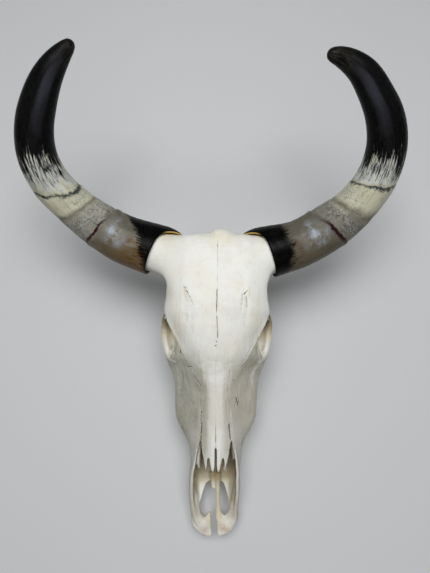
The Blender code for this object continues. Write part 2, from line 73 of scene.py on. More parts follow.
MM = 0.001
ORIGIN = np.array([5.6, 126.0, 0.0])  # from the skull's Y = 0 to the row's origin
SKULL_LENGTH = 480.0  # back of the poll to the front of the premaxillae, along the floor
SKULL_TURN = 0.008  # radians that the skull is turned by under its horns
SMOOTH_UP_TO = math.radians(50)  # faces that meet at less than this shade as one surface
BLADE_POWER = 0.45  # how boxy the section of a thin wall is; 1 would be an ellipse
NOSE_MIDDLE = 76  # height of the nose's middle, from which its inside is told
SMALLEST_PATCH = 900  # faces; a smaller island of a bone goes to the neighbour it touches most

# ---------------------------------------------------------------------------------------------
# Sizes and colours that a user may change


def length(name, default, description):
    return FloatProperty(name=name, description=description, default=default, unit="LENGTH")


def colour(name, default, description):
    return FloatVectorProperty(
        name=name, description=description, default=default, subtype="COLOR", min=0, max=1
    )


class SkullSizes(bpy.types.PropertyGroup):
    form_voxel: length("Form voxel", 0.003, "Grid on which the large masses are melted together")
    skin_voxel: length("Skin voxel", 0.0011, "Grid of the finished skin")
    plate: length("Plate thickness", 0.0024, "Thickness of each bone's plate behind its surface")
    suture_depth: length("Suture depth", 0.00016, "How far the skin dips along a suture")
    inner_share: FloatProperty(
        name="Inner detail", description="Share of the faces kept on a plate's hidden side",
        default=0.12, min=0.02, max=1.0,
    )


class HornSizes(bpy.types.PropertyGroup):
    bore: length("Bore", 0.074, "Depth of the hollow that takes the horn core")
    beak: length("Beak", 0.030, "Length of the pointed lip on the rear of the rim")
    flare: length("Flare", 0.0100, "How far the lip stands off the skull")
    around: IntProperty(
        name="Sides", description="Faces round the sheath", default=112, min=24, max=256
    )
    rings: IntProperty(
        name="Rings", description="Rings along the sheath", default=300, min=60, max=600
    )


class BoneColours(bpy.types.PropertyGroup):
    # Bleached, laid by the pale mark, is also a painted highlight on crests, ridges and the orbits'
    # floors.
    bleached: colour("Bleached", (0.83, 0.83, 0.78), "Clean bone of the forehead and nose")
    cream: colour("Cream", (0.78, 0.73, 0.60), "Warmer patches and the floor of the orbits")
    beige: colour("Beige", (0.56, 0.50, 0.41), "Duller bone of the muzzle")
    # Olive is also painted shade on slopes, folds and sides that turn from the light.
    olive: colour("Olive grey", (0.345, 0.332, 0.25), "Weathered bone on the cheeks and sides")
    # In the orbits amber is part of their painted shade.
    amber: colour("Amber", (0.66, 0.56, 0.30), "Oil left in the bone at the poll and orbits")
    # In the orbits and the palate's slots brown is painted shade.
    brown: colour("Brown", (0.17, 0.122, 0.055), "Inside of the nose and the orbits")
    ochre: colour("Ochre", (0.36, 0.26, 0.12), "Stain on the floor of the nose")
    rose: colour("Rose", (0.58, 0.37, 0.24), "Porous front of the muzzle")
    crack: colour("Crack", (0.10, 0.075, 0.04), "Dirt in the cracks and open sutures")
    enamel: colour("Enamel", (0.55, 0.48, 0.34), "Crowns of the cheek teeth")


class HornColours(bpy.types.PropertyGroup):
    black: colour("Black", (0.0012, 0.0012, 0.0014), "Tip and rim of the horn")
    # Painted highlight: a lighter band along the crest of the black end, in place of a glint of light.
    painted_highlight: colour("Night", (0.032, 0.033, 0.041), "Polished crest of the black end")
    cream: colour("Cream", (0.55, 0.535, 0.40), "Palest band of the horn")
    grey: colour("Grey", (0.34, 0.33, 0.275), "Translucent bands between the rings")
    smoke: colour("Smoke", (0.11, 0.10, 0.075), "Darker clouds in the grey bands")
    tan: colour("Tan", (0.152, 0.113, 0.062), "Underside beyond the rim")
    umber: colour("Umber", (0.080, 0.064, 0.036), "Shadowed clouds of the underside")
    rust: colour("Rust", (0.18, 0.105, 0.045), "Underside next to the rim")
    olive: colour("Olive", (0.17, 0.165, 0.10), "Streaks in the cream bands")
    white: colour("White", (0.56, 0.58, 0.57), "Scaly flecks and the palest streaks")
    # Painted gloss: bluish patches that stand in for reflected light on the upper middle behind the first
    # ring.
    painted_gloss: colour("Sheen", (0.38, 0.42, 0.48), "Bluish patches behind the first ring")
    slate: colour("Slate", (0.045, 0.052, 0.055), "Blue-grey ring and the fringe of the black end")
    ring: colour("Ring", (0.030, 0.008, 0.010), "The first growth ring")
    wall: colour("Wall", (0.60, 0.40, 0.12), "Inside of the sheath at its rim")


class StageSettings(bpy.types.PropertyGroup):
    floor: colour("Floor", (0.62, 0.63, 0.64), "The plain floor")
    key: FloatProperty(name="Key light", description="Its power", default=44.0, unit="POWER")
    fill: FloatProperty(name="Fill light", description="Its power", default=7.0, unit="POWER")
    sky: FloatProperty(name="Sky", description="Strength of the even light", default=0.12)


# ---------------------------------------------------------------------------------------------
# Shaping tools


def deselect():
    for obj in bpy.context.selected_objects:
        obj.select_set(False)


def make_active(obj):
    deselect()
    obj.select_set(True)
    bpy.context.view_layer.objects.active = obj
    return obj


def add_object(name, data):
    obj = bpy.data.objects.new(name, data)
    bpy.context.scene.collection.objects.link(obj)
    return obj


@contextmanager
def editing():
    """Edit mode of the active object, for as long as the block lasts."""
    bpy.ops.object.mode_set(mode="EDIT")
    yield
    bpy.ops.object.mode_set(mode="OBJECT")


def read(items, key, width, kind=np.float32):
    """One property of a mesh's vertices, edges or corners, a row for each."""
    values = np.empty(len(items) * width, kind)
    items.foreach_get(key, values)
    return values.reshape(-1, width)


def write(obj, name, values):
    """Stores a number or a vector for each vertex, which a material reads by its name."""
    kind, key = ("FLOAT", "value") if values.ndim == 1 else ("FLOAT_VECTOR", "vector")
    layer = obj.data.attributes.new(name, kind, "POINT")
    layer.data.foreach_set(key, values.astype(np.float32).ravel())


def unit(vectors):
    return vectors / np.linalg.norm(vectors, axis=1)[:, None]


def curve_at(knots, values, where):
    """Values of a smooth curve through (knots, values), read at each place in where."""
    knots, values = np.asarray(knots, float), np.asarray(values, float)
    where = np.clip(np.asarray(where, float), knots.min(), knots.max())
    if knots[0] > knots[-1]:
        knots, values = knots[::-1], values[::-1]
    slopes = np.gradient(values, knots, axis=0)
    i = np.clip(np.searchsorted(knots, where, side="right") - 1, 0, len(knots) - 2)
    step = knots[i + 1] - knots[i]
    t = ((where - knots[i]) / step)[..., None]
    step = step[..., None]
    flat = values.reshape(len(knots), -1)
    slopes = slopes.reshape(len(knots), -1)
    found = (
        flat[i] * (2 * t**3 - 3 * t**2 + 1)
        + slopes[i] * step * (t**3 - 2 * t**2 + t)
        + flat[i + 1] * (3 * t**2 - 2 * t**3)
        + slopes[i + 1] * step * (t**3 - t**2)
    )
    return found.reshape(where.shape + values.shape[1:])


def lengths_along(path):
    """How far along a path each of its points lies."""
    return np.concatenate([[0], np.cumsum(np.linalg.norm(np.diff(path, axis=0), axis=1))])


def heading(knots, path, along, reach=0.5):
    """A path's direction at each place along it, read between reach mm before and after it."""
    return curve_at(knots, path, along + reach) - curve_at(knots, path, along - reach)


def places(obj):
    """The vertices of an object in skull millimetres."""
    return read(obj.data.vertices, "co", 3).astype(float) / MM - ORIGIN


def within_box(co):
    """Places in mm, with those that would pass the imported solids' box eased back inside it."""
    for axis, soft in enumerate((2.4, 2.4, 0.4)):
        for side, corner in ((-1, CAD_BOX[0]), (1, CAD_BOX[1])):
            limit = corner[axis] / MM - ORIGIN[axis]
            past = np.maximum(side * (co[:, axis] - limit) + soft + 0.05, 0)
            co[:, axis] -= side * (past - soft * np.tanh(past / soft))
    return co


def put(obj, co):
    obj.data.vertices.foreach_set("co", ((co + ORIGIN) * MM).ravel())
    obj.data.update()
    return obj


def outward(obj):
    """Each vertex's normal."""
    return read(obj.data.vertex_normals, "vector", 3).astype(float)


def finish_mesh(name, obj):
    obj.name = obj.data.name = name
    with editing():
        bpy.ops.mesh.select_all(action="SELECT")
        bpy.ops.mesh.normals_make_consistent(inside=False)
    return obj


def tube(name, rings, around, place):
    """A filled circle extruded ring by ring; place(share, angle) then gives each vertex, in mm."""
    deselect()
    bpy.ops.mesh.primitive_circle_add(vertices=around, radius=1.0, fill_type="NGON")
    obj = bpy.context.object
    with editing():
        for _ in range(rings - 1):
            bpy.ops.mesh.extrude_region_move(TRANSFORM_OT_translate={"value": (0, 0, 1)})
    x, y, ring = read(obj.data.vertices, "co", 3, float).T
    share = np.round(ring) / (rings - 1)
    angle = np.arctan2(y, x) % (2 * math.pi)
    put(obj, place(share, angle))
    return finish_mesh(name, obj)


def loft(name, stations, rings=40, around=48):
    """A body across the midline. A station is (y, half profile), the profile from top to bottom."""
    ys = [y for y, _ in stations]
    profiles = np.array([profile for _, profile in stations], float)
    count = profiles.shape[1]
    knots = np.arange(-2, 2 * count)

    def place(share, angle):
        y = ys[0] + (ys[-1] - ys[0]) * share
        half = curve_at(ys, profiles, y)
        mirrored = half[:, ::-1][:, 1:-1] * [-1, 1]
        whole = np.concatenate([half, mirrored], axis=1)
        loop = np.concatenate([whole[:, -2:], whole, whole[:, :2]], axis=1)
        turn = angle / (2 * math.pi) * (2 * count - 2)
        out = np.empty((len(y), 3))
        for i in range(len(y)):
            out[i, [0, 2]] = curve_at(knots, loop[i], turn[i : i + 1])[0]
        out[:, 1] = y
        return out

    return tube(name, rings, around, place)


def bar(name, path, radii, rings=32, around=24, up=(0, 0, 1)):
    """A tapered bar along a smooth path. A radius is (half thickness across, half height up)."""
    path, radii = np.asarray(path, float), np.asarray(radii, float)
    knots = lengths_along(path)

    def place(share, angle):
        along = share * knots[-1]
        ahead = unit(heading(knots, path, along))
        side = unit(np.cross(ahead, np.asarray(up, float)))
        top = np.cross(side, ahead)
        across, height = curve_at(knots, radii, along).T
        return (
            curve_at(knots, path, along)
            + side * (across * np.cos(angle))[:, None]
            + top * (height * np.sin(angle))[:, None]
        )

    return tube(name, rings, around, place)


def ball(name, centre, radii, turn=(0, 0, 0)):
    """An ellipsoid, in mm, turned by degrees about X, Y and Z."""
    deselect()
    bpy.ops.mesh.primitive_uv_sphere_add(segments=32, ring_count=20, radius=1.0)
    obj = bpy.context.object
    place = Matrix.Translation(Vector((np.array(centre) + ORIGIN) * MM))
    turned = Euler([math.radians(a) for a in turn]).to_matrix().to_4x4()
    size = Matrix.Diagonal((*[r * MM for r in radii], 1.0))
    obj.data.transform(place @ turned @ size)
    return finish_mesh(name, obj)


def blade(name, rim, foot, thick, rings=60, around=28):
    """A thin wall between its upper rim and its foot, point by point, with its half thickness."""
    rim, foot, thick = np.asarray(rim, float), np.asarray(foot, float), np.asarray(thick, float)
    middle, half = (rim + foot) / 2, (rim - foot) / 2
    knots = lengths_along(middle)

    def place(share, angle):
        along = share * knots[-1]
        top = curve_at(knots, half, along)
        side = unit(np.cross(heading(knots, middle, along), top))
        across = np.sign(np.cos(angle)) * np.abs(np.cos(angle)) ** BLADE_POWER
        return (
            curve_at(knots, middle, along)
            + side * (curve_at(knots, thick, along) * across)[:, None]
            + top * np.sin(angle)[:, None]
        )

    return tube(name, rings, around, place)


def slab(name, outline, low, high):
    """A flat plate: an outline in plan, with its lower and upper height."""
    mesh = bpy.data.meshes.new(name)
    points = [tuple((np.array((x, y, low)) + ORIGIN) * MM) for x, y in outline]
    mesh.from_pydata(points, [], [tuple(range(len(points)))])
    obj = make_active(add_object(name, mesh))
    up = {"value": (0, 0, (high - low) * MM)}
    with editing():
        bpy.ops.mesh.select_all(action="SELECT")
        bpy.ops.mesh.extrude_region_move(TRANSFORM_OT_translate=up)
    return finish_mesh(name, obj)


def apply_modifier(obj, kind, **settings):
    modifier = obj.modifiers.new(kind.title(), kind)
    for key, value in settings.items():
        setattr(modifier, key, value)
    make_active(obj)
    bpy.ops.object.modifier_apply(modifier=modifier.name)
    return obj


def mirror_pair(obj):
    """Adds the other side's copy, across the skull's midline."""
    half = ORIGIN[0] * MM
    obj.data.transform(Matrix.Translation((-half, 0, 0)))
    apply_modifier(obj, "MIRROR", use_mirror_merge=False)
    obj.data.transform(Matrix.Translation((half, 0, 0)))
    return obj


def join(name, parts):
    deselect()
    for obj in parts:
        obj.select_set(True)
    bpy.context.view_layer.objects.active = parts[0]
    if len(parts) > 1:
        bpy.ops.object.join()
    parts[0].name = parts[0].data.name = name
    return parts[0]


def melt(name, parts, voxel, smoothing):
    """Joins overlapping forms into one closed skin and softens it."""
    obj = join(name, parts)
    apply_modifier(obj, "REMESH", mode="VOXEL", voxel_size=voxel, adaptivity=0.0)
    if smoothing:
        apply_modifier(obj, "SMOOTH", factor=0.5, iterations=smoothing)
    return obj


def edges_of(obj):
    return read(obj.data.edges, "vertices", 2, np.int32)


def groups_of(count, pairs):
    """Numbers the groups that pairs of neighbours make."""
    group = np.arange(count)
    while True:
        first, second = group[pairs[:, 0]], group[pairs[:, 1]]
        low = np.minimum(first, second)
        merged = group.copy()
        np.minimum.at(merged, first, low)
        np.minimum.at(merged, second, low)
        merged = merged[merged[merged]]
        if (merged == group).all():
            return group
        group = merged


def soften(obj, weight, rounds):
    """Smooths where weight, from 0 to 1 for each vertex, says."""
    co = places(obj)
    drawn = averaged(co, edges_of(obj), rounds)
    return put(obj, co + (drawn - co) * weight[:, None])


def keep_largest(obj):
    """Leaves the largest of a mesh's separate bodies."""
    group = groups_of(len(obj.data.vertices), edges_of(obj))
    largest = np.bincount(group).argmax()
    mesh = bmesh.new()
    mesh.from_mesh(obj.data)
    mesh.verts.ensure_lookup_table()
    stray = [mesh.verts[i] for i in np.flatnonzero(group != largest)]
    bmesh.ops.delete(mesh, geom=stray, context="VERTS")
    mesh.to_mesh(obj.data)
    mesh.free()
    return obj


def averaged(values, pairs, rounds):
    """Each vertex's value drawn towards its neighbours', so many times."""
    count = len(values)
    ends = np.concatenate([pairs, pairs[:, ::-1]])
    number = np.maximum(np.bincount(ends[:, 0], minlength=count), 1)
    for _ in range(rounds):
        columns = values.reshape(count, -1).T
        mean = [np.bincount(ends[:, 0], column[ends[:, 1]], count) / number for column in columns]
        values = (values + np.array(mean).T.reshape(values.shape)) / 2
    return values


def smooth_step(low, high, value):
    t = np.clip((value - low) / (high - low), 0, 1)
    return t * t * (3 - 2 * t)


def lattice_noise(places_in_cells, seed):
    """Smooth noise from -1 to 1, one cell a unit, the same each run."""
    cell = np.floor(places_in_cells).astype(np.int64)
    t = places_in_cells - cell
    t = t * t * (3 - 2 * t)
    total = np.zeros(len(cell))
    for corner in range(8):
        step = np.array([corner & 1, corner >> 1 & 1, corner >> 2 & 1])
        x, y, z = (cell + step).T
        mixed = (x * 374761393 + y * 668265263 + z * 1440662683 + seed * 974711) & 0xFFFFFFFF
        mixed = ((mixed ^ (mixed >> 13)) * 1274126177) & 0xFFFFFFFF
        value = ((mixed ^ (mixed >> 16)) & 0xFFFF) / 32767.5 - 1
        total += value * np.prod(np.where(step, t, 1 - t), axis=1)
    return total


def straight(co, turn=SKULL_TURN):
    """Places on the skull as it would lie unturned, or turned with turn negative."""
    x, y = co[:, 0], co[:, 1] + SKULL_LENGTH
    return np.stack(
        [x * math.cos(turn) - y * math.sin(turn),
         x * math.sin(turn) + y * math.cos(turn) - SKULL_LENGTH,
         co[:, 2]], axis=1)


# ---------------------------------------------------------------------------------------------
# The skull's masses. Profiles run from the roof's middle to the palate's middle.


def face_mass():
    """Nasal roof, cheeks and palate, from the front of the cheek teeth back to the orbits."""
    stations = [
        (-384, [(0, 96), (10, 95), (20, 90), (31, 78), (40, 56), (41, 42), (37, 33), (25, 33),
                (0, 34)]),
        (-352, [(0, 114), (10, 113), (20, 106), (31, 94), (41, 62), (42.5, 42), (37, 30), (25, 32),
                (0, 34)]),
        (-332, [(0, 122), (10, 121), (21, 113), (32, 98), (43.5, 66), (45, 42), (36, 25), (25, 31),
                (0, 34)]),
        (-307, [(0, 130), (10, 129), (23, 119), (38, 101), (56, 68), (51, 36), (46, 20), (30, 28),
                (0, 33)]),
        (-286, [(0, 136), (10, 135), (25, 124), (43, 103), (67, 72), (57, 36), (51, 17), (33, 26),
                (0, 32)]),
        (-260, [(0, 143), (10, 142), (26, 130), (45, 110), (69, 78), (58, 38), (53, 17), (34, 26),
                (0, 32)]),
        (-232, [(0, 151), (12, 150), (29, 138), (49, 118), (70, 88), (58, 40), (53, 18), (34, 28),
                (0, 34)]),
        (-211, [(0, 158), (17, 156), (36, 145), (55, 127), (70, 98), (56, 50), (48, 24), (32, 32),
                (0, 38)]),
        (-190, [(0, 166), (30, 163), (48, 154), (62, 138), (74, 106), (50, 62), (36, 46), (24, 44),
                (0, 46)]),
        (-168, [(0, 172), (38, 169), (54, 161), (66, 148), (74, 112), (46, 72), (32, 60), (20, 56),
                (0, 54)]),
        (-145, [(0, 178), (38, 172), (52, 164), (62, 148), (60, 112), (40, 80), (26, 68), (14, 60),
                (0, 58)]),
    ]
    return loft("face", stations, rings=60)


def frontal_mass():
    """The flat forehead from the nasal root to the poll, overhanging the temples."""
    table = [
        # y, half width, height in the middle, height at the edge
        (4.5, 58, 177, 168),
        (-2, 76, 189, 171),
        (-10, 84, 195, 175),
        (-20, 88, 198, 179),
        (-40, 89, 200, 183),
        (-62, 87, 200, 181),
        (-88, 81, 198, 176),
        (-104, 80, 196, 170),
        (-121, 84, 193, 163),
        (-135, 78, 189, 160),
        (-150, 69, 185, 158),
        (-167, 60, 178, 154),
        (-185, 52, 170, 150),
        (-210, 40, 159, 144),
        (-238, 26, 148, 138),
    ]
    stations = [
        (y, [(0, top), (0.62 * w, top - 3), (w, edge), (0.86 * w, edge - 12), (0, top - 45)])
        for y, w, top, edge in table
    ]
    return loft("forehead", stations)


def middle_masses():
    """Braincase, back of the skull and the bar of the skull's base."""
    return [
        ball("braincase", (0, -72, 128), (53, 74, 56)),
        ball("temporal_mass", (0, -44, 106), (68, 36, 40)),
        ball("nuchal_mass", (0, -26, 128), (66, 22, 62)),
        ball("poll_left", (1, -9, 180), (15, 20, 18)),
        ball("poll_right", (10, -10, 179), (17, 20, 18)),
        bar("base", [(0, -12, 62), (0, -60, 58), (0, -120, 62), (0, -200, 70)],
            [(24, 12), (20, 12), (16, 11), (14, 12)]),
    ]


def side_masses():
    """Forms of the right side, mirrored: orbit, arch, processes and pterygoid plate."""
    rim = [(79, -117, 158), (81.5, -115, 146), (87, -120, 126), (90.5, -135, 107), (89, -158, 99),
           (82, -180, 103), (72, -190, 116), (62, -187, 138), (58, -171, 151), (66, -152, 157),
           (75, -134, 161), (79, -117, 158)]
    rim_size = [(3.8, 4.2), (3.6, 4.4), (3.2, 4.6), (3, 5), (3, 5), (3.6, 5), (5, 5), (5, 5), (5, 5),
                (5, 5), (4.5, 4.5), (4, 4)]
    forms = [
        bar("orbit_rim", rim, rim_size, rings=60, up=(1, 0, 0.01)),
        ball("orbit_floor", (66, -150, 84), (24, 34, 12), (0, -20, 0)),
        bar("zygomatic",
            [(60, -250, 82), (67, -214, 90), (78, -188, 94), (85, -160, 95), (86, -132, 97),
             (85, -104, 101), (80, -80, 105), (68, -58, 106)],
            [(6, 10), (6, 14), (6, 14), (5, 11), (5.5, 9), (6, 7.5), (6, 8), (7, 10)]),
        ball("articular_tubercle", (58, -80, 92), (28, 18, 11)),
        ball("mastoid", (66, -42, 104), (16, 20, 26)),
        bar("paracondylar_process",
            [(46, -26, 92), (46, -28, 60), (42, -33, 24), (39, -38, 0)],
            [(13, 11), (10, 9), (7, 6), (5, 4.5)], up=(0, 1, 0)),
        ball("condyle", (22, -7, 66), (13, 17, 20), (20, 0, -25)),
        ball("bulla", (34, -66, 50), (11, 17, 14)),
        bar("pterygoid_plate",
            [(27, -214, 48), (23, -190, 50), (20, -160, 56), (18, -136, 64)],
            [(3.5, 18), (3.5, 17), (3.5, 14), (3.5, 8)]),
    ]
    return [mirror_pair(form) for form in forms]


def horn_cores():
    """The two cores, each running into its own sheath."""
    left = [(-44, -41, 166), (-72, -32, 162), (-101, -21, 158), (-130, -10, 158), (-138, -7, 158)]
    right = [(44, -41, 166), (62, -33, 162), (84, -24, 158), (116, -14, 159), (124, -11, 159)]
    size = [(38, 24), (37.5, 31), (34.5, 34), (29, 29), (16, 16)]
    return [bar("horn_core_left", left, size), bar("horn_core_right", right, size)]


def cheek_teeth():
    """The right row, mirrored: three one-lobed premolars and three two-lobed molars, worn flat."""
    lobes = [(-328, 13, 38), (-312, 15, 40), (-295, 16, 42)]
    for start, size, x in ((-286, 24, 44), (-262, 26, 45), (-236, 27, 45)):
        lobes += [(start + size * 0.25, size / 2, x), (start + size * 0.75, size / 2, x)]
    teeth = []
    for y, size, x in lobes:
        deselect()
        place = Vector((np.array((x, y, 14.0)) + ORIGIN) * MM)
        bpy.ops.mesh.primitive_cube_add(size=1.0)
        tooth = bpy.context.object
        shape = Matrix.Diagonal((19 * MM, (size + 1.2) * MM, 28 * MM, 1.0))
        tooth.data.transform(Matrix.Translation(place) @ shape)
        with editing():
            bpy.ops.mesh.select_all(action="SELECT")
            bpy.ops.mesh.bevel(offset=4.5 * MM, segments=4, affect="EDGES")
        for v in tooth.data.vertices:
            if v.co.z < 4.6 * MM:
                v.co.z = 0.0 if v.co.z < 1.5 * MM else max(v.co.z, 1.2 * MM)
        teeth.append(finish_mesh("tooth", tooth))
    return mirror_pair(join("cheek_teeth", teeth))


def muzzle():
    """The thin walls beside the nose opening, the palate's front and the premaxillae's bodies."""
    wall = blade(
        "wall",
        [(30, -300, 98), (29, -318, 103), (29.5, -331, 103), (31.5, -343, 98), (34, -357, 90),
         (37.3, -372, 82), (38.3, -388, 74), (38.6, -402, 66), (38.2, -414, 57), (37, -426, 50),
         (34.4, -438, 44), (31, -449, 40), (26, -458, 37), (19, -465, 35)],
        [(49, -300, 40), (46, -318, 38), (43, -331, 38), (41, -343, 38), (40, -357, 38),
         (41.5, -372, 37), (42.5, -388, 36), (42.5, -402, 34), (41.5, -414, 32), (39.8, -426, 29),
         (37.5, -438, 28), (35.5, -449, 27), (31, -458, 27), (24, -465, 27)],
        [4, 3.2, 2.8, 2.7, 2.9, 3.2, 3.4, 3.5, 3.6, 3.9, 4.4, 4.8, 4.6, 4])
    palate = slab("palate",
                  [(-1, -290), (36, -290), (38, -350), (38, -400), (35.5, -407), (31.5, -415),
                   (28.5, -423), (26.5, -425), (24.3, -420), (21.5, -410), (18.5, -401),
                   (15.5, -393.5), (8, -389.3), (-1, -388.5)], 33.5, 40)
    left = [(-39, -406), (-39.6, -421), (-40, -437), (-40.6, -450), (-38, -460), (-31.6, -468),
            (-24.5, -473.4), (-15, -477), (-8.6, -478.6), (-5.2, -476), (-5.2, -471),
            (-7, -463), (-7, -452), (-7.6, -444), (-9.8, -439.5), (-11.6, -440.5),
            (-14.8, -445.4), (-18.4, -448.6), (-23, -442), (-26.4, -433.5), (-29, -427), (-31, -420)]
    right = [(39, -406), (39.4, -421), (38.6, -437), (37.8, -450), (34.8, -459.6), (28.6, -466.6),
             (20.6, -472.4), (11.4, -476.4), (5.8, -478), (3.6, -473), (3.4, -464.5), (3.6, -455),
             (1.4, -444), (1.2, -434), (8.1, -430.8), (9.4, -439), (15.7, -446.4), (21.8, -441),
             (26, -431), (28.6, -425), (30.6, -418)]
    arm = bar("arm",
              [(37, -380, 38), (36, -398, 40), (34, -416, 39), (33, -430, 36), (31, -443, 34),
               (26, -454, 33)],
              [(1.5, 3), (3, 5), (6, 7), (7, 7), (8, 6.5), (9, 6)], rings=30)
    front = melt("front", [
        slab("body", left, 27, 34.5), slab("body", right[::-1], 27, 34.5),
        ball("crown", (-20, -461, 31), (13, 13, 7), (14, 0, 0)),
        ball("crown", (18.5, -461, 31), (14, 13, 7), (14, 0, 0)), mirror_pair(arm),
        bar("palatine_process", [(5, -376, 43), (4.4, -400, 41), (4.6, -424, 38.5), (6.5, -452, 32)],
            [(5, 5), (4.3, 3.6), (4.2, 3.4), (6, 4)]),
        bar("spine_stub", [(-5, -374, 43), (-4, -392, 41), (-3.4, -402.5, 40)],
            [(6, 5), (4, 3.6), (2.6, 2.4)]),
        ball("vomer_foot", (1, -377, 38.5), (13, 12, 5)),
    ], 0.0014, 7)
    return [mirror_pair(wall), mirror_pair(palate), front]


def turbinates():
    """Thin scrolls of bone inside the nose, and the ridge that the septum stood on."""
    left = bar("scroll_left",
               [(-20, -250, 92), (-24, -290, 92), (-27, -326, 88), (-28, -346, 82), (-27, -364, 72)],
               [(4, 13), (5, 15), (5.5, 11), (5, 7), (1.6, 2)])
    right = bar("scroll_right", [(20, -250, 92), (24, -290, 92), (27.5, -326, 84), (29, -350, 72)],
                [(4, 13), (5, 15), (4, 10), (1.6, 3)])
    lower = bar("lower_scroll", [(14, -260, 66), (15, -300, 64), (17, -340, 56), (19, -362, 48)],
                [(5, 12), (6, 13), (4.5, 9), (2.5, 4)])
    return [left, right, mirror_pair(lower),
            bar("vomer", [(0, -250, 60), (0, -320, 50), (0, -380, 42)], [(3, 22), (2.6, 14), (2.6, 6)])]


def nasal_plates():
    """The two nasal bones' free front ends, each forked into an inner and an outer prong."""
    outline = [(0.4, -296), (0.5, -321), (1.0, -329), (1.2, -345), (1.5, -354), (2.4, -361), (4.3, -365.5),
               (6.6, -361.5), (8.8, -352), (10.4, -341), (11.3, -334), (12.4, -341), (13.8, -353),
               (15, -363.5), (16.6, -357), (18.4, -349), (20.6, -339), (22.2, -328), (23.4, -318),
               (24.2, -308), (24.4, -296)]
    plate = melt("nasal_plates", [slab("nasal_plate", outline, 129.8, 134.2)], 0.0011, 0)
    co = places(plate)
    ridge = curve_at([-380, -355, -330, -300, -280], [103, 113, 122.6, 131.4, 136.4], co[:, 1])
    drop = 11 * np.clip((np.abs(co[:, 0]) - 6) / 17.5, 0, 2) ** 1.25
    co[:, 2] += ridge - 134 - drop
    return mirror_pair(put(plate, co))


def cavities():
    """What is hollow: nose, orbits, the back of the palate and the foramen magnum."""
    nose = loft(
        "nose_cavity",
        [
            (-412, [(0, 160), (37, 160), (37, 80), (36.6, 68), (36, 54), (34, 42), (0, 41)]),
            (-372, [(0, 160), (35.4, 160), (35.6, 86), (35.6, 74), (35, 58), (33, 42), (0, 41)]),
            (-345, [(0, 160), (31, 160), (31.2, 98), (34, 84), (34.5, 66), (33, 42), (0, 41)]),
            (-330, [(0, 160), (27.2, 160), (27.4, 104), (31.5, 92), (35, 70), (34, 42), (0, 41)]),
            (-317, [(0, 160), (24.4, 160), (24.6, 108), (29, 96), (35, 72), (34, 42), (0, 41)]),
            (-309, [(0, 128), (10, 127), (20, 116), (28, 98), (35, 74), (34, 42), (0, 41)]),
            (-280, [(0, 127), (9, 126), (18, 116), (26, 100), (34, 76), (30, 46), (0, 44)]),
            (-240, [(0, 110), (5, 109), (9, 106), (14, 96), (16, 82), (10, 66), (0, 62)]),
        ],
        rings=90,
        around=72,
    )
    choana = bar("choana", [(0, -160, 40), (0, -205, 58), (0, -240, 74)], [(15, 18), (14, 14), (8, 8)])
    magnum = bar("magnum", [(0, 20, 84), (0, -14, 84), (0, -50, 90)], [(17, 15), (16, 14), (10, 10)])
    orbit = bar("orbit_cavity",
                [(130, -154, 136), (96, -151, 134), (72, -149, 131), (46, -136, 126), (30, -124, 120)],
                [(34, 28), (32, 28), (29, 27), (19, 17), (9, 9)])
    bowl = ball("orbit_bowl", (75, -157, 118), (12.5, 28, 14))
    return join("cavities", [nose, choana, magnum, mirror_pair(orbit), mirror_pair(bowl)])


def build_skull(sizes):
    form = sizes.form_voxel
    body = melt("skull", [face_mass(), frontal_mass(), *middle_masses()], form, 8)
    body = melt("skull", [body, *side_masses(), *horn_cores()], form, 8)
    x, y, z = places(body).T
    neck = smooth_step(48, 62, np.abs(x)) * smooth_step(124, 104, np.abs(x)) * smooth_step(-100, -80, y)
    soften(body, neck * (z > 110), 60)
    cutter = melt("cavities", [cavities()], 0.002, 1)
    apply_modifier(body, "BOOLEAN", object=cutter, operation="DIFFERENCE", solver="EXACT")
    bpy.data.objects.remove(cutter)
    fine = [*muzzle(), *turbinates(), nasal_plates(), cheek_teeth()]
    body = keep_largest(melt("skull", [body, *fine], sizes.skin_voxel, 4))
    co = places(body)
    narrowed = smooth_step(-345, -390, co[:, 1]) * smooth_step(-450, -428, co[:, 1])
    co[:, 0] *= 1 - 0.08 * (co[:, 0] > 0) * narrowed
    return put(body, straight(co, -SKULL_TURN))


# ---------------------------------------------------------------------------------------------
# Bones: which bone a place on the skin belongs to. Boxes are (y, inner x, low z, outer x, high z).

BOXES = {
    "nasal": [(-385, 0, 86, 29, 220), (-312, 0, 99, 28, 220), (-300, 0, 117, 26, 220),
              (-280, 0, 123, 26, 220), (-240, 0, 134, 25, 220), (-215, 0, 146, 20, 220),
              (-196, 0, 156, 6, 220)],
    "lacrimal": [(-252, 30, 122, 80, 136), (-215, 22, 116, 90, 200), (-165, 38, 118, 100, 200),
                 (-150, 50, 118, 100, 200)],
    "zygomatic": [(-268, 48, 76, 90, 86), (-235, 46, 70, 100, 106), (-200, 48, 70, 100, 112),
                  (-165, 44, 64, 110, 117), (-130, 50, 64, 110, 150), (-100, 64, 74, 110, 150)],
    "premaxilla": [(-500, 0, -5, 60, 130), (-396, 0, -5, 60, 130), (-378, 0, 52, 60, 130),
                   (-344, 0, 108, 60, 130)],
    "occipital": [(-50, 0, -5, 60, 68), (-42, 0, -5, 62, 72), (-34, 0, -5, 120, 250),
                  (40, 0, -5, 120, 250)],
    "sphenoid": [(-150, 0, 20, 27, 74), (-40, 0, 20, 27, 74)],
    "temporal": [(-138, 0, 60, 48, 250), (-118, 0, 30, 66, 250), (-104, 0, 15, 130, 250),
                 (-20, 0, 15, 130, 250)],
}
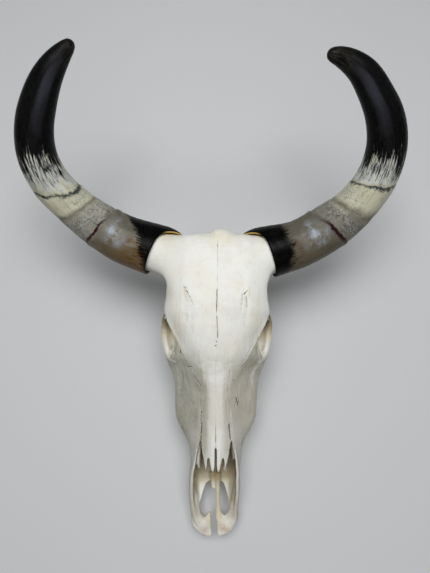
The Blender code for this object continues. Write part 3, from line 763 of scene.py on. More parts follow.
# The frontal bone lies over a surface: at each y, its height at three distances from the midline.
FRONTAL_FLOOR = [(-222, (28, 172), (50, 172), (200, 172)), (-205, (28, 150), (48, 156), (200, 165)),
                 (-185, (36, 146), (56, 150), (200, 152)), (-160, (40, 140), (60, 143), (200, 146)),
                 (-120, (40, 134), (62, 136), (200, 134)), (-95, (50, 134), (66, 134), (200, 130)),
                 (-60, (58, 138), (72, 128), (200, 110)), (45, (60, 140), (74, 127), (200, 100))]
PAIRED = ("nasal", "frontal", "lacrimal", "zygomatic", "premaxilla", "temporal", "maxilla")
ORDER = ("nasal", "frontal", "lacrimal", "zygomatic", "premaxilla", "occipital", "sphenoid",
         "temporal", "maxilla")


def in_bone(name, x, y, z):
    """Whether places, folded onto the right side, lie in a bone's region."""
    if name == "maxilla":
        return np.ones(len(x), bool)
    table = np.array([[row[0], *np.ravel(row[1:])] for row in BOXES.get(name, FRONTAL_FLOOR)], float)
    ys = table[:, 0]
    column = [np.interp(y, ys, table[:, i]) for i in range(1, table.shape[1])]
    within = (y > ys[0]) & (y < ys[-1])
    if name == "frontal":
        near = np.clip((x - column[0]) / (column[2] - column[0]), 0, 1)
        far = np.clip((x - column[2]) / (column[4] - column[2]), 0, 1)
        floor = column[1] + (column[3] - column[1]) * near + (column[5] - column[3]) * far
        return within & (z > floor)
    return within & (x >= column[0]) & (x < column[2]) & (z > column[1]) & (z < column[3])


def bone_of(co):
    """Each place's bone, as an index into ORDER, plus 100 on the left side of a paired one."""
    flat = straight(co)
    wave = np.stack([lattice_noise(flat / 16, seed) * 2.2 + lattice_noise(flat / 4.5, seed + 3) * 1.3
                     for seed in (1, 2, 3)], axis=1)
    middle = np.clip(np.abs(flat[:, 0]) / 12, 0.15, 1)
    wave[:, 0] *= middle * np.sign(flat[:, 0])
    x = np.abs(flat[:, 0]) + wave[:, 0]
    side = flat[:, 0] + wave[:, 2] * 0.15 < 0
    bone = np.full(len(co), -1)
    for index, name in enumerate(ORDER):
        found = (bone < 0) & in_bone(name, x, flat[:, 1] + wave[:, 1], flat[:, 2] + wave[:, 2])
        bone[found] = index
    paired = np.isin(bone, [ORDER.index(name) for name in PAIRED])
    return bone + 100 * (side & paired)


def bone_title(code):
    name = ORDER[code % 100]
    if name not in PAIRED:
        return name
    return name + ("_left" if code >= 100 else "_right")


def face_data(obj):
    """Corner table of an all-quad mesh, and for each edge the two faces beside it."""
    corners = read(obj.data.loops, "vertex_index", 1, np.int32).reshape(-1, 4)
    edge = read(obj.data.loops, "edge_index", 1, np.int32).ravel()
    beside = (np.argsort(edge, kind="stable") // 4).reshape(-1, 2)
    return corners, beside


def settle(bone, beside):
    """Gives small islands of a bone to the neighbour that they touch most."""
    for _ in range(3):
        same = beside[bone[beside[:, 0]] == bone[beside[:, 1]]]
        group = groups_of(len(bone), same)
        size = np.bincount(group, minlength=len(bone))
        small = size[group] < SMALLEST_PATCH
        if not small.any():
            break
        ends = np.concatenate([beside, beside[:, ::-1]])
        touch = ends[small[ends[:, 0]] & (group[ends[:, 0]] != group[ends[:, 1]])]
        for island in np.unique(group[touch[:, 0]]):
            other = bone[touch[group[touch[:, 0]] == island, 1]]
            values, counts = np.unique(other, return_counts=True)
            bone[group == island] = values[counts.argmax()]
    return bone


# ---------------------------------------------------------------------------------------------
# Brushes


def along_path(co, path):
    """Distance in plan from each place to a path of (x, y), and how far along it, 0 to 1."""
    path = np.asarray(path, float)
    best = np.full(len(co), 1e9)
    share = np.zeros(len(co))
    for i, (a, b) in enumerate(zip(path[:-1], path[1:])):
        step = b - a
        t = np.clip(((co[:, :2] - a) @ step) / (step @ step), 0, 1)
        gap = np.linalg.norm(co[:, :2] - (a + t[:, None] * step), axis=1)
        nearer = gap < best
        best[nearer] = gap[nearer]
        share[nearer] = (i + t[nearer]) / (len(path) - 1)
    return best, share


class Skin:
    """The skull's vertices with the marks that its material reads."""

    def __init__(self, obj):
        self.obj = obj
        self.co = places(obj)
        self.normal = outward(obj)
        self.edges = edges_of(obj)
        self.marks = {}

    def mark(self, name):
        return self.marks.setdefault(name, np.zeros(len(self.co)))

    def paint(self, name, amount):
        self.marks[name] = np.maximum(self.mark(name), np.clip(amount, 0, 1))

    def shift(self, amount):
        self.co = self.co + self.normal * amount[:, None]

    def settle(self):
        put(self.obj, self.co)
        self.normal = outward(self.obj)

    def stroke(self, path, width, depth, lip, mark, strength):
        """A groove (or a ridge, with depth negative) along a path seen from above."""
        path = np.asarray(path, float)
        low, high = path.min(axis=0) - 6 * width, path.max(axis=0) + 6 * width
        near = (self.co[:, :2] > low).all(axis=1) & (self.co[:, :2] < high).all(axis=1)
        index = np.flatnonzero(near & (self.normal[:, 2] > 0.12) & (self.co[:, 2] > 60))
        gap, share = along_path(self.co[index], path)
        ends = np.clip(np.minimum(share, 1 - share) * 8, 0.3, 1)
        wobble = 1 + 0.5 * lattice_noise(self.co[index] / 2.6, 11)
        core = np.exp(-((gap / (width * ends)) ** 2))
        edge = np.exp(-(((gap - 2.2 * width) / (1.3 * width)) ** 2))
        amount = np.zeros(len(self.co))
        amount[index] = (-depth * core + lip * edge) * np.clip(wobble, 0.4, 1.4)
        self.shift(amount)
        paint = np.zeros(len(self.co))
        if mark == "crack":
            paint[index] = strength * np.exp(-((gap / 5) ** 2))
            self.paint("tone", paint)
            core = np.exp(-((gap / (2 * width * ends)) ** 2))
            strength = 1
        paint[index] = core * strength
        self.paint(mark, paint)

    def dab(self, centre, radius, depth, strength):
        """A dark pit round a place in 3-D."""
        gap = np.linalg.norm(self.co - np.array(centre, float), axis=1)
        self.shift(-depth * np.exp(-((gap / radius) ** 2)))
        self.paint("crack", np.exp(-((gap / (1.6 * radius)) ** 2)))
        self.paint("tone", strength * np.exp(-((gap / (4 * radius)) ** 2)))


# Each stroke: (path seen from above, half width, depth, lip, mark, strength). A ridge has a
# negative depth.
STROKES = [
    # The interfrontal suture: faint behind, an open beaded crack between the foramina, then thin.
    ([(4.3, -12), (4.2, -24), (3.9, -56), (3.2, -91)], 0.45, 0.25, 0.0, "crack", 0.12),
    ([(3.2, -90), (2.9, -98), (2.9, -109), (2.3, -118), (2.4, -128)], 0.6, 1.2, 0.1, "crack", 0.95),
    ([(2.4, -127), (3.2, -141), (4.1, -157), (3.9, -166)], 0.55, 1.0, 0.1, "crack", 0.9),
    ([(0.9, -181), (0.6, -225), (0.6, -270), (0.8, -318)], 0.5, 0.3, 0.0, "crack", 0.25),
    ([(0.6, -296), (0.7, -320)], 0.5, 0.5, 0.0, "crack", 0.35),
    # Supraorbital foramina and their grooves, left and right, with painted shade (olive) along the grooves
    # and painted highlight (pale) on the ridges beside them.
    ([(-44.6, -93), (-41.6, -97), (-40, -100.5)], 0.55, 1.2, 0.2, "crack", 0.65),
    ([(-40.4, -99), (-38.2, -104), (-37.2, -106.5)], 0.45, 1.1, 0.15, "crack", 0.6),
    ([(-37.4, -106), (-34.2, -112), (-32, -118)], 0.45, 0.7, 0.1, "crack", 0.3),
    ([(-49, -87), (-45, -89), (-42.5, -92)], 0.5, 0.6, 0.2, "crack", 0.3),
    ([(-43, -99), (-43.5, -118), (-43, -141)], 3.6, 0.6, 0.0, "olive", 0.16),
    ([(-37, -108), (-33, -124), (-34, -156)], 4.2, 0.5, 0.0, "olive", 0.12),
    ([(-47, -86), (-44.6, -97), (-44, -106)], 1.6, -0.5, 0.0, "amber", 0.7),
    ([(-41, -88), (-38.5, -97), (-36, -104)], 1.6, -0.4, 0.0, "pale", 0.8),
    ([(50.5, -93.5), (48, -95.4), (46, -97.5)], 0.5, 1.0, 0.2, "crack", 0.6),
    ([(46.4, -97), (45, -99), (43.6, -101)], 0.65, 1.4, 0.2, "crack", 0.95),
    ([(47.4, -103), (48.1, -112), (48, -121)], 1.1, 0.6, 0.1, "olive", 0.5),
    ([(41.8, -98), (41, -107), (39.4, -117)], 1.1, 0.5, 0.1, "olive", 0.4),
    ([(46.5, -103), (47, -122), (44, -148)], 3.8, 0.6, 0.0, "olive", 0.18),
    ([(40.5, -102), (39.5, -118), (36, -140)], 3.4, 0.4, 0.0, "olive", 0.12),
    ([(39.5, -90), (42, -95.5), (43, -99)], 1.6, -0.5, 0.0, "pale", 0.8),
    ([(51, -88), (52, -95), (50.5, -104)], 1.8, -0.5, 0.0, "amber", 0.5),
    # The left lacrimal suture and the cracks in front of it.
    ([(-44, -205), (-41.3, -205), (-38, -204.6), (-36, -206.5)], 0.6, 0.9, 0.1, "crack", 0.75),
    ([(-35.4, -207), (-33.2, -210), (-32, -214)], 0.5, 0.7, 0.1, "crack", 0.65),
    ([(-31.6, -217), (-31.2, -223), (-28.5, -226.5), (-25.4, -229), (-23.3, -232), (-21.9, -237)],
     0.6, 0.9, 0.1, "crack", 0.8),
    ([(-21.8, -248), (-22.9, -263), (-21.5, -269)], 0.5, 0.5, 0.1, "crack", 0.3),
    ([(-21.5, -277), (-22.2, -286)], 0.5, 0.5, 0.1, "crack", 0.35),
    ([(-21, -272), (-21.6, -276)], 0.9, 0.9, 0.2, "crack", 0.8),
    ([(-54.6, -179), (-54, -183.5), (-55.6, -184)], 0.9, 1.0, 0.2, "crack", 0.9),
    ([(-50, -194), (-46, -196), (-43.5, -197)], 0.5, 0.5, 0.1, "crack", 0.4),
    ([(-69, -168), (-63, -180), (-58.4, -188)], 0.5, 0.6, 0.2, "crack", 0.4),
    ([(-52, -196), (-47, -214), (-42, -236)], 1.8, 0.5, 0.2, "olive", 0.2),
    # The right cheek.
    ([(26.5, -225), (28.8, -225.7), (32, -227.2)], 0.5, 0.7, 0.1, "crack", 0.5),
    ([(33, -250), (34.2, -256), (36, -261), (37.4, -266)], 0.75, 1.3, 0.3, "crack", 1.0),
    ([(33.3, -256), (31.7, -263), (31, -267)], 0.5, 0.7, 0.1, "crack", 0.45),
    ([(36.7, -261), (38, -256), (39.5, -252)], 0.5, 0.6, 0.1, "crack", 0.4),
    ([(40, -206.4), (43.8, -202.2), (51.4, -195.3)], 0.5, 0.6, 0.15, "crack", 0.4),
    ([(47, -191), (52, -183), (57.5, -174)], 0.5, 0.5, 0.1, "crack", 0.25),
    ([(50, -197), (55.5, -189), (59.5, -182)], 0.5, 0.5, 0.1, "crack", 0.25),
    ([(53.6, -210), (56.6, -204.6), (62, -200)], 0.5, 0.7, 0.2, "crack", 0.45),
    ([(55, -183), (60.3, -173.8), (66, -163.9)], 1.8, -0.5, 0.0, "pale", 0.3),
    # The slits that run back from the nose opening, and the pale ridges beside them.
    ([(-20.9, -287), (-21.4, -299), (-22.4, -309)], 0.7, 1.5, 0.1, "crack", 1.0),
    ([(-22.2, -308), (-23.2, -319)], 1.1, 3.0, 0.1, "crack", 1.0),
    ([(22.3, -290), (23.4, -303), (25.2, -317)], 1.1, 3.2, 0.1, "crack", 1.0),
    ([(-24, -266), (-24.6, -289), (-26, -311)], 1.7, -0.4, 0.0, "pale", 0.3),
    ([(24.8, -268), (26, -286), (28, -302), (30, -318)], 1.7, -0.5, 0.0, "pale", 0.4),
    # Painted shade in olive on the nasal bridge's flanks.
    ([(-18, -246), (-19, -285)], 1.3, 0.2, 0.0, "olive", 0.8),
    ([(18.5, -252), (19.5, -290)], 1.3, 0.2, 0.0, "olive", 0.7),
    # Facial crests and the folds on the cheeks, with painted highlight (pale) along each crest and painted
    # shade (olive) in the fold beside it.
    ([(-64, -203), (-60, -217), (-58.5, -228), (-60, -246)], 2.8, -0.9, 0.0, "pale", 0.2),
    ([(-55, -200), (-53, -218), (-54, -238)], 3.0, 0.5, 0.0, "olive", 0.8),
    ([(76, -196), (69, -202), (62.6, -210), (60, -220), (61.5, -236)], 2.8, -0.9, 0.0, "pale", 0.5),
    ([(66, -209), (57, -214), (54, -224), (55, -240)], 2.8, 0.5, 0.0, "olive", 0.7),
    ([(-63, -246), (-56, -248.4), (-50, -249)], 0.5, 0.2, 0.0, "crack", 0.25),
    ([(-50, -320), (-48.6, -330)], 0.7, 0.8, 0.1, "crack", 0.8),
    ([(47.5, -314), (45.2, -323), (43.5, -330)], 0.7, 0.8, 0.1, "crack", 0.8),
]
PITS = [((2.4, -169.8, 176.3), 1.3), ((0.8, -175.6, 174.2), 1.1), ((4.2, -24, 198.2), 0.8),
        ((-46.4, -91, 194.5), 0.9), ((-42.6, -96, 194.6), 0.9), ((44.2, -100, 195.3), 1.0)]

PIT_DEPTH, PIT_TONE = 1.6, 1.4  # depth of the foramina, and how dark they and their rims are


def sculpt(skin):
    """Cracks, grooves, foramina and the fine uneven surface."""
    co = skin.co
    x, y, z = co.T
    skin.shift(lattice_noise(co / 26, 5) * 0.5 + lattice_noise(co / 10, 6) * 0.22
               + lattice_noise(co / 3.4, 7) * 0.07)
    roof = smooth_step(0.2, 0.6, skin.normal[:, 2])
    wrinkle = lattice_noise(co / [16, 2.8, 16], 8) * smooth_step(-80, -45, y) * 0.26
    radial = lattice_noise(co / [2.6, 24, 24], 9) * smooth_step(-60, -110, y) * 0.22
    skin.shift(roof * (wrinkle + radial))
    skin.settle()
    # A shallow dish on the forehead between the orbits, and a swelling over each of them.
    skin.shift(-1.6 * np.exp(-((x - 2) / 22) ** 2 - ((y + 95) / 38) ** 2) * roof)
    skin.shift(1.3 * np.exp(-((np.abs(x) - 52) / 18) ** 2 - ((y + 140) / 22) ** 2) * roof)
    skin.settle()
    for path, width, depth, lip, mark, strength in STROKES:
        skin.stroke(path, width, depth, lip, mark, strength)
    for centre, radius in PITS:
        skin.dab(centre, radius, PIT_DEPTH, PIT_TONE)
    skin.co = within_box(skin.co)
    skin.settle()


# ---------------------------------------------------------------------------------------------
# Parting the skin


def hollowness(skin, rounds):
    """How far each vertex lies below (or above, negative) its surroundings, in mm."""
    soft = averaged(skin.co, skin.edges, rounds)
    return np.einsum("ij,ij->i", soft - skin.co, skin.normal)


class Ground:
    """Where each vertex lies on the skull, with soft masks that rise from first to second."""

    def __init__(self, skin):
        self.x, self.y, self.z = straight(skin.co).T
        self.ax = np.abs(self.x)
        self.up = skin.normal[:, 2]
        self.cloud = lattice_noise(skin.co / 18, 20)

    def along(self, first, second):
        return smooth_step(first, second, self.y)

    def across(self, first, second):
        return smooth_step(first, second, self.x)

    def out(self, first, second):
        """By the distance from the midline."""
        return smooth_step(first, second, self.ax)

    def upward(self, first, second):
        """By how far up the surface faces."""
        return smooth_step(first, second, self.up)

    def patch(self, centre, radii):
        """A bell round a place seen from above."""
        return self.bell(self.x, centre, radii)

    def pair(self, centre, radii):
        """A bell round a place on the right, and its mirror image on the left."""
        return self.bell(self.ax, centre, radii)

    def bell(self, x, centre, radii):
        return np.exp(-(((x - centre[0]) / radii[0]) ** 2) - ((self.y - centre[1]) / radii[1]) ** 2)


def stain_roof(skin, g):
    """Olive on the cheeks and nasal flanks as painted shade where the surface turns from the light, darker
    on the left, the cleaner bridge of the nose, and the oily poll and brows.
    """
    # Painted shade: olive rises as the surface turns from facing up, on the cheeks and the muzzle's sides.
    cheek = g.upward(0.985, 0.80) * g.along(-165, -215) * g.along(-470, -395)
    cheek *= 0.4 + 0.6 * g.along(-360, -300)
    cheek *= 1 - 0.7 * g.out(46, 34) * g.along(-282, -306)
    # Painted shade is heavier on the left side, where less light falls; on the right cheek beige is laid
    # over it.
    left_shade = 0.78 + 0.22 * g.across(12, -12)
    skin.paint("olive", cheek * left_shade * (0.88 + 0.2 * g.cloud))
    # Painted shade in olive on the nasal bridge's sloping flanks, heavier on the left.
    slope = g.out(8, 17) * g.along(-212, -250) * g.along(-366, -320)
    skin.paint("olive", slope * (0.52 + 0.32 * g.across(8, -8)))
    skin.paint("olive", g.out(44, 60) * g.along(-158, -196) * g.along(-350, -300) * 0.7)
    skin.paint("beige", cheek * g.across(4, 26) * g.along(-190, -240) * 0.55)
    # Painted shade in olive on every surface that faces sideways or down.
    skin.paint("olive", g.upward(0.6, 0.0) * 0.6)
    skin.paint("pale", np.exp(-np.abs(g.x / 12) ** 3) * g.along(-190, -230) * 0.25)
    bridge = np.exp(-np.abs(g.x / 14) ** 3) * g.along(-215, -245) * g.along(-312, -285)
    skin.paint("beige", bridge * 0.68)
    skin.paint("olive", g.patch((32, -128), (16, 20)) * 0.18)
    skin.paint("amber", g.patch((4, -10), (24, 14)) * 0.45)
    skin.paint("amber", g.pair((82, -2), (16, 16)) * 0.5)
    skin.paint("amber", g.pair((62, -150), (9, 40)) * 0.22)


def stain_nose(skin, g):
    """The brown inside of the nose, apart from its paler left scroll."""
    axis = np.stack([-g.x, np.zeros(len(g.x)), NOSE_MIDDLE - g.z], axis=1)
    axis /= np.maximum(np.linalg.norm(axis, axis=1), 1)[:, None]
    facing = np.einsum("ij,ij->i", axis, skin.normal)
    inside = smooth_step(-0.1, 0.25, facing) * (g.ax < 38) * (g.y < -232) * (g.z > 38) * (g.z < 132)
    inside = inside * (1 - g.upward(0.3, 0.7) * (g.z > 52) * (g.ax > 28))
    scroll = g.across(-12, -20) * g.along(-352, -362) * (g.z > 58) * g.upward(0.1, 0.4)
    inside = inside * (1 - 0.75 * scroll)
    deep = (0.9 + 0.2 * g.cloud) * (1 - 0.25 * g.out(24, 31) * g.along(-350, -380))
    skin.paint("brown", inside * g.along(-400, -370) * deep)
    skin.paint("brown", inside * g.along(-426, -398) * g.out(25, 32) * 0.62)


def stain_palate(skin, g):
    """The palate's front and the spurs beside the fissures, kept off the muzzle's outer wall, with painted
    shade where the spurs slope up to the walls, in the slots beside them and where the front turns down.
    """
    edge = g.across(15, 27) + smooth_step(25, 31, -g.x)
    inner = 1 - smooth_step(0.05, 0.35, skin.normal[:, 0] * np.sign(g.x)) * (g.ax > 33)
    inner = inner * (g.z < 50) * (g.z > 30)
    # Painted shade in olive where the spurs slope up to the walls.
    skin.paint("olive", inner * g.along(-432, -395) * edge * 0.6)
    skin.paint("amber", g.patch((0, -380), (17, 15)) * (g.z < 60))
    skin.paint("brown", g.patch((0, -372), (17, 12)) * (g.z < 60))
    skin.paint("amber", (g.ax < 11) * (g.y > -452) * (g.y < -366) * (g.z < 52) * 0.5)
    skin.paint("beige", g.along(-400, -440) * (0.85 - 0.3 * g.along(-445, -462) + 0.25 * g.cloud))
    skin.paint("olive", g.along(-408, -420) * g.along(-452, -440) * g.out(24, 30) * 0.55)
    skin.paint("beige", g.along(-340, -370) * g.out(32, 37) * 0.6)
    # Painted shade in olive where the front turns away from facing up.
    skin.paint("olive", g.along(-440, -470) * g.upward(0.75, 0.2) * 0.6)
    spurs = inner * (g.y < -384) * g.along(-440, -424)
    # Painted shade in olive at the spurs' outer edges.
    skin.paint("olive", spurs * g.out(24, 31) * 0.5)
    skin.paint("olive", spurs * g.across(14, 24) * 0.65)
    # Painted shadow in brown in the slot between spur and wall.
    skin.paint("brown", spurs * g.across(20, 26) * g.along(-428, -418) * 0.5)
    skin.paint("olive", spurs * (np.abs(g.x - 5) < 6) * 0.8)
    skin.paint("amber", inner * g.along(-404, -384) * g.along(-340, -350) * 0.6)


def stain_orbits(skin, g):
    """The orbits: painted shade in amber and brown towards their top and depth, a cream and pale floor as
    painted light, lighter in the right orbit, clear of olive; and the lacrimals in front.
    """
    here = np.stack([g.ax, g.y, g.z], axis=1)
    orbit = np.linalg.norm((here - [66, -154, 122]) / [34, 44, 42], axis=1) < 1
    orbit &= (g.z < 119) | (g.up < 0.4) | (g.y > -145)
    brow = 154 - np.clip(g.ax - 60, 0, 40) * 0.35
    orbit &= (g.z < brow) | ((g.up < 0.62) & (g.y > -138) & (g.z < 158))
    apex = np.linalg.norm(here - [79, -126, 152], axis=1) < 9
    orbit |= apex & (g.up > 0.12) & (g.up < 0.66)
    skin.marks["olive"] = skin.mark("olive") * (1 - 0.95 * orbit)
    # Painted shade: amber, then brown, towards the orbit's top and depth.
    skin.paint("amber", orbit * g.along(-164, -142) * 0.8)
    skin.paint("brown", orbit * g.along(-154, -128) * 0.85)
    skin.paint("brown", orbit * g.out(58, 44) * 0.8)
    # Painted light on the orbit's floor, stronger in the right orbit.
    skin.paint("cream", orbit * g.along(-136, -154) * g.out(56, 66) * 0.95)
    skin.paint("pale", orbit * g.along(-146, -166) * g.out(56, 66) * (0.4 + 0.2 * (g.x > 0)))
    border = np.interp(g.y, (-232, -225, -207, -180, -160, -150), (28, 30, 37, 52, 62, 74))
    lacrimal = smooth_step(0, 4, g.ax - border) * g.along(-236, -212) * g.along(-150, -160)
    skin.paint("olive", lacrimal * ~orbit * (0.8 + 0.3 * g.cloud))


def stain_sides(skin, g):
    """Painted shade at the left temple's edge, patches behind the left orbit and on the left cheek, and
    lighter bone beside the nose.
    """
    # Painted shade in olive along the left temple's edge.
    skin.paint("olive", g.across(-62, -74) * np.exp(-(((g.y + 95) / 16) ** 2)) * 0.35)
    skin.paint("cream", g.patch((-76, -28), (22, 22)) * 0.3)
    skin.paint("olive", g.patch((-76, -28), (18, 20)) * 0.14)
    skin.paint("brown", g.across(-46, -56) * g.along(-250, -280) * g.along(-325, -300) * 0.15)
    lighter = g.pair((34, -318), (10, 17))
    skin.marks["olive"] = skin.mark("olive") * (1 - lighter * (0.25 + 0.35 * (g.x < 0)))
    skin.paint("beige", lighter * 0.4)


def stain_muzzle(skin, g):
    """Painted shade on the right arm, the premaxillae's stained bodies and the teeth."""
    # Painted shade in olive on the right arm.
    skin.paint("olive", g.along(-414, -426) * g.along(-454, -442) * g.across(22, 29) * 0.8)
    skin.paint("amber", g.patch((-10, -450), (6, 14)) * 0.5)
    skin.paint("amber", g.patch((8, -455), (5, 10)) * 0.4)
    front = g.pair((15, -464), (8, 7)) * (g.z > 28)
    skin.paint("rose", front * (0.7 + 0.8 * lattice_noise(skin.co / 3.2, 21)))
    teeth = (g.z < 26) & (g.y > -342) & (g.y < -204) & (g.ax > 30)
    skin.paint("enamel", teeth * smooth_step(27, 20, g.z))


def region_marks(skin):
    """Broad stains, painted shade and painted light by place, in an order that counts: two of them also
    clear olive laid before.
    """
    ground = Ground(skin)
    for stain in (stain_roof, stain_nose, stain_palate, stain_orbits, stain_sides, stain_muzzle):
        stain(skin, ground)


def write_marks(skin, names):
    for name in names:
        write(skin.obj, name, skin.mark(name))


MARKS = ("crack", "tone", "olive", "pale", "beige", "cream", "amber", "brown", "rose", "enamel",
         "hollow", "suture")


def part_bones(skin, sizes):
    """Splits the skin into one open patch for each bone, named for it."""
    obj = skin.obj
    corners, beside = face_data(obj)
    bone = settle(bone_of(skin.co[corners].mean(axis=1)), beside)
    border = beside[bone[beside[:, 0]] != bone[beside[:, 1]]]
    ordered = np.sort(np.concatenate([corners[border[:, 0]], corners[border[:, 1]]], axis=1), axis=1)
    on_border = np.zeros(len(skin.co))
    on_border[ordered[:, 1:][ordered[:, 1:] == ordered[:, :-1]]] = 1
    suture = np.clip(averaged(on_border, skin.edges, 2) * 1.6, 0, 1)
    skin.paint("suture", suture)
    skin.shift(-suture * sizes.suture_depth / MM)
    skin.settle()
    # Painted light: the right orbit's cream floor is kept clear of the olive in hollows.
    right_orbit_light = skin.mark("cream") * (skin.co[:, 0] > 0)
    skin.paint("hollow", 0.5 + hollowness(skin, 14) * 1.2 * (1 - right_orbit_light))
    write_marks(skin, MARKS)
    codes = np.unique(bone)
    obj.data.materials.clear()
    for code in codes:
        obj.data.materials.append(bpy.data.materials.new("patch " + bone_title(code)))
    obj.data.polygons.foreach_set("material_index", np.searchsorted(codes, bone).astype(np.int32))
    make_active(obj)
    with editing():
        bpy.ops.mesh.separate(type="MATERIAL")
    return list(bpy.context.selected_objects)


def close_bone(obj, sizes):
    """Gives an open patch its plate's thickness; the hidden side is kept coarse."""
    inner = obj.vertex_groups.new(name="inner")
    apply_modifier(obj, "SOLIDIFY", thickness=sizes.plate, offset=-1.0, use_rim=True,
                   shell_vertex_group=inner.name)
    apply_modifier(obj, "DECIMATE", vertex_group=inner.name, ratio=(1 + sizes.inner_share) / 2,
                   use_collapse_triangulate=True)
    obj.vertex_groups.clear()
    return obj


# ---------------------------------------------------------------------------------------------
# Horn sheaths

# Each horn: the path of its middle, its widths along it, the places along it where a season ends
# (the rim, three growth rings, the start and the end of the streaks, and two towards the tip), how
# far the black of the rim reaches at RIM_ANGLES, how far each growth ring leans at LEAN_ANGLES,
# how much darker its grey part is, and the angle of the crest along which a highlight is painted.
HORNS = {
    "left": {
        "path": [(-97, -21.5, 158), (-156, 3.5, 160), (-186, 20, 166), (-227, 49, 180),
                 (-258, 77, 202), (-273, 111, 232), (-269, 144, 260), (-255, 168, 284),
                 (-239, 190, 303), (-216, 215, 318), (-202, 227, 325)],
        "widths": [80, 79, 73, 65, 62, 59, 55, 50, 42, 29, 18],
        "seasons": (0, 103, 148, 182, 205, 262, 322, 382, 442),
        "rim": (20, 3, -1, 2, 9, 22, 42, 70, 78, 50, 20),
        "lean": ((5, -5, -1, 7, 11, 11, 5), (0, -12, -4, 12, 19, 17, 0),
                 (-10, -26, -17, 4, 16, 14, -10)),
        "dusk": 0.0,
        "crest": 16,
    },
    "right": {
        "path": [(85.5, -25, 158), (137, -8, 160), (187, 19, 168), (225, 47, 184), (254, 84, 208),
                 (262, 122, 238), (250, 156, 268), (237, 174, 282), (209, 202, 303),
                 (177, 214, 316), (162, 213, 322)],
        "widths": [80, 78, 76, 67, 63, 60, 54, 49, 40, 27, 19],
        "seasons": (0, 107, 150, 196, 208, 258, 316, 376, 436),
        "rim": (26, 10, 8, 22, 33, 37, 36, 34, 32, 30, 26),
        "lean": ((-4, -18, -12, -3, 6, 10, -4), (0, -16, -8, 0, 7, 10, 0),
                 (-8, -26, -17, -4, 4, 6, -8)),
        "dusk": 0.62,
        "crest": 11,
    },
}
RIM_ANGLES = (-180, -110, -70, -35, 0, 30, 60, 90, 120, 150, 180)
LEAN_ANGLES = (-180, -90, -45, 0, 45, 90, 180)
BEAK_SPREAD, BEAK_ANGLE = 0.54, math.radians(116)
RING_TOP = (-0.16, -0.66, 0.76)  # where angle 0 of the right sheath's rings faces


def horn_sheath(name, horn, sizes):
    """A sheath from its beaked rim to its blunt tip, with the bore that takes the horn core."""
    path, widths = np.array(horn["path"], float), np.array(horn["widths"], float)
    side_sign = math.copysign(1, path[0, 0])
    knots = lengths_along(path)
    full = knots[-1]
    bore = sizes.bore / MM
    inner = [(bore, 0.0), (bore, 0.3), (bore - 1, 0.45), (bore - 9, 0.78), (62, 0.89), (50, 0.895),
             (40, 0.9), (30, 0.902), (20, 0.905), (12, 0.908), (6, 0.91), (3, 0.915), (1, 0.925),
             (0.2, 0.94), (0, 0.955), (0.3, 0.975), (1.2, 0.99)]
    tip = [(full - 2, 0.97), (full, 0.93), (full + 2, 0.82), (full + 3.5, 0.68), (full + 4.6, 0.52),
           (full + 5.4, 0.36), (full + 5.9, 0.2), (full + 6.1, 0.06)]
    body_rings = sizes.rings - len(inner) - len(tip)
    body = [(2.5 + (full - 6.5) * (i / (body_rings - 1)), 1.0) for i in range(body_rings)]
    meridian = np.array(inner + body + tip)
    facing = np.array(RING_TOP) * [side_sign, 1, 1]
    kept = {}

    def place(share, angle):
        ring = np.clip(np.round(share * (len(meridian) - 1)).astype(int), 0, len(meridian) - 1)
        along, scale = meridian[ring].T
        to_back = np.abs((angle - BEAK_ANGLE + math.pi) % (2 * math.pi) - math.pi)
        spread = np.exp(-((to_back / BEAK_SPREAD) ** 2))
        beak = sizes.beak / MM * spread
        fade = np.clip(1 - along / 60, 0, 1) ** 1.5
        moved = along - beak * fade
        inside = np.clip(moved, 0, full)
        centre = curve_at(knots, path, inside)
        ahead = unit(heading(knots, path, inside, reach=1))
        centre += ahead * (moved - inside)[:, None]
        top = unit(np.cross(np.cross(ahead, facing), ahead))
        side = np.cross(top, ahead) * side_sign
        base = curve_at(knots, widths / 2, inside)
        grain = np.stack([base * np.cos(angle), base * np.sin(angle), moved], axis=1)
        outer = ring >= len(inner) - 2
        counted = moved + ring_shift(grain, angle, horn["lean"])
        relief = sheath_relief(grain, counted, horn["seasons"]) * outer * np.clip(along / 6, 0, 1)
        bend = 7 * np.clip(-moved / 30, 0, 1) ** 2
        radius = base * scale + sizes.flare / MM * spread * fade - bend + relief
        bare = (ring < len(inner) - 1) * smooth_step(0.12, 0.4, spread)
        kept.update(grain=grain, angle=angle, along=moved, counted=counted, bore=bare)
        return within_box(
            centre
            + top * (radius * np.cos(angle))[:, None]
            + side * (radius * np.sin(angle))[:, None]
        )

    obj = tube(name, len(meridian), sizes.around, place)
    horn_marks(obj, kept, horn)
    return obj


def degrees(angle):
    return np.degrees((angle + math.pi) % (2 * math.pi) - math.pi)


def ring_shift(grain, angle, lean):
    """How much further along a place counts, in mm, since the growth rings lean and waver."""
    first, second, third = [np.interp(degrees(angle), LEAN_ANGLES, row) for row in lean]
    shift = first + (second - first) * smooth_step(106, 142, grain[:, 2])
    shift += (third - second) * smooth_step(152, 182, grain[:, 2])
    shift += lattice_noise(grain * [1 / 14, 1 / 14, 1 / 90], 31) * 2.5
    return shift + lattice_noise(grain * [1 / 4, 1 / 4, 1 / 60], 32) * 1.2


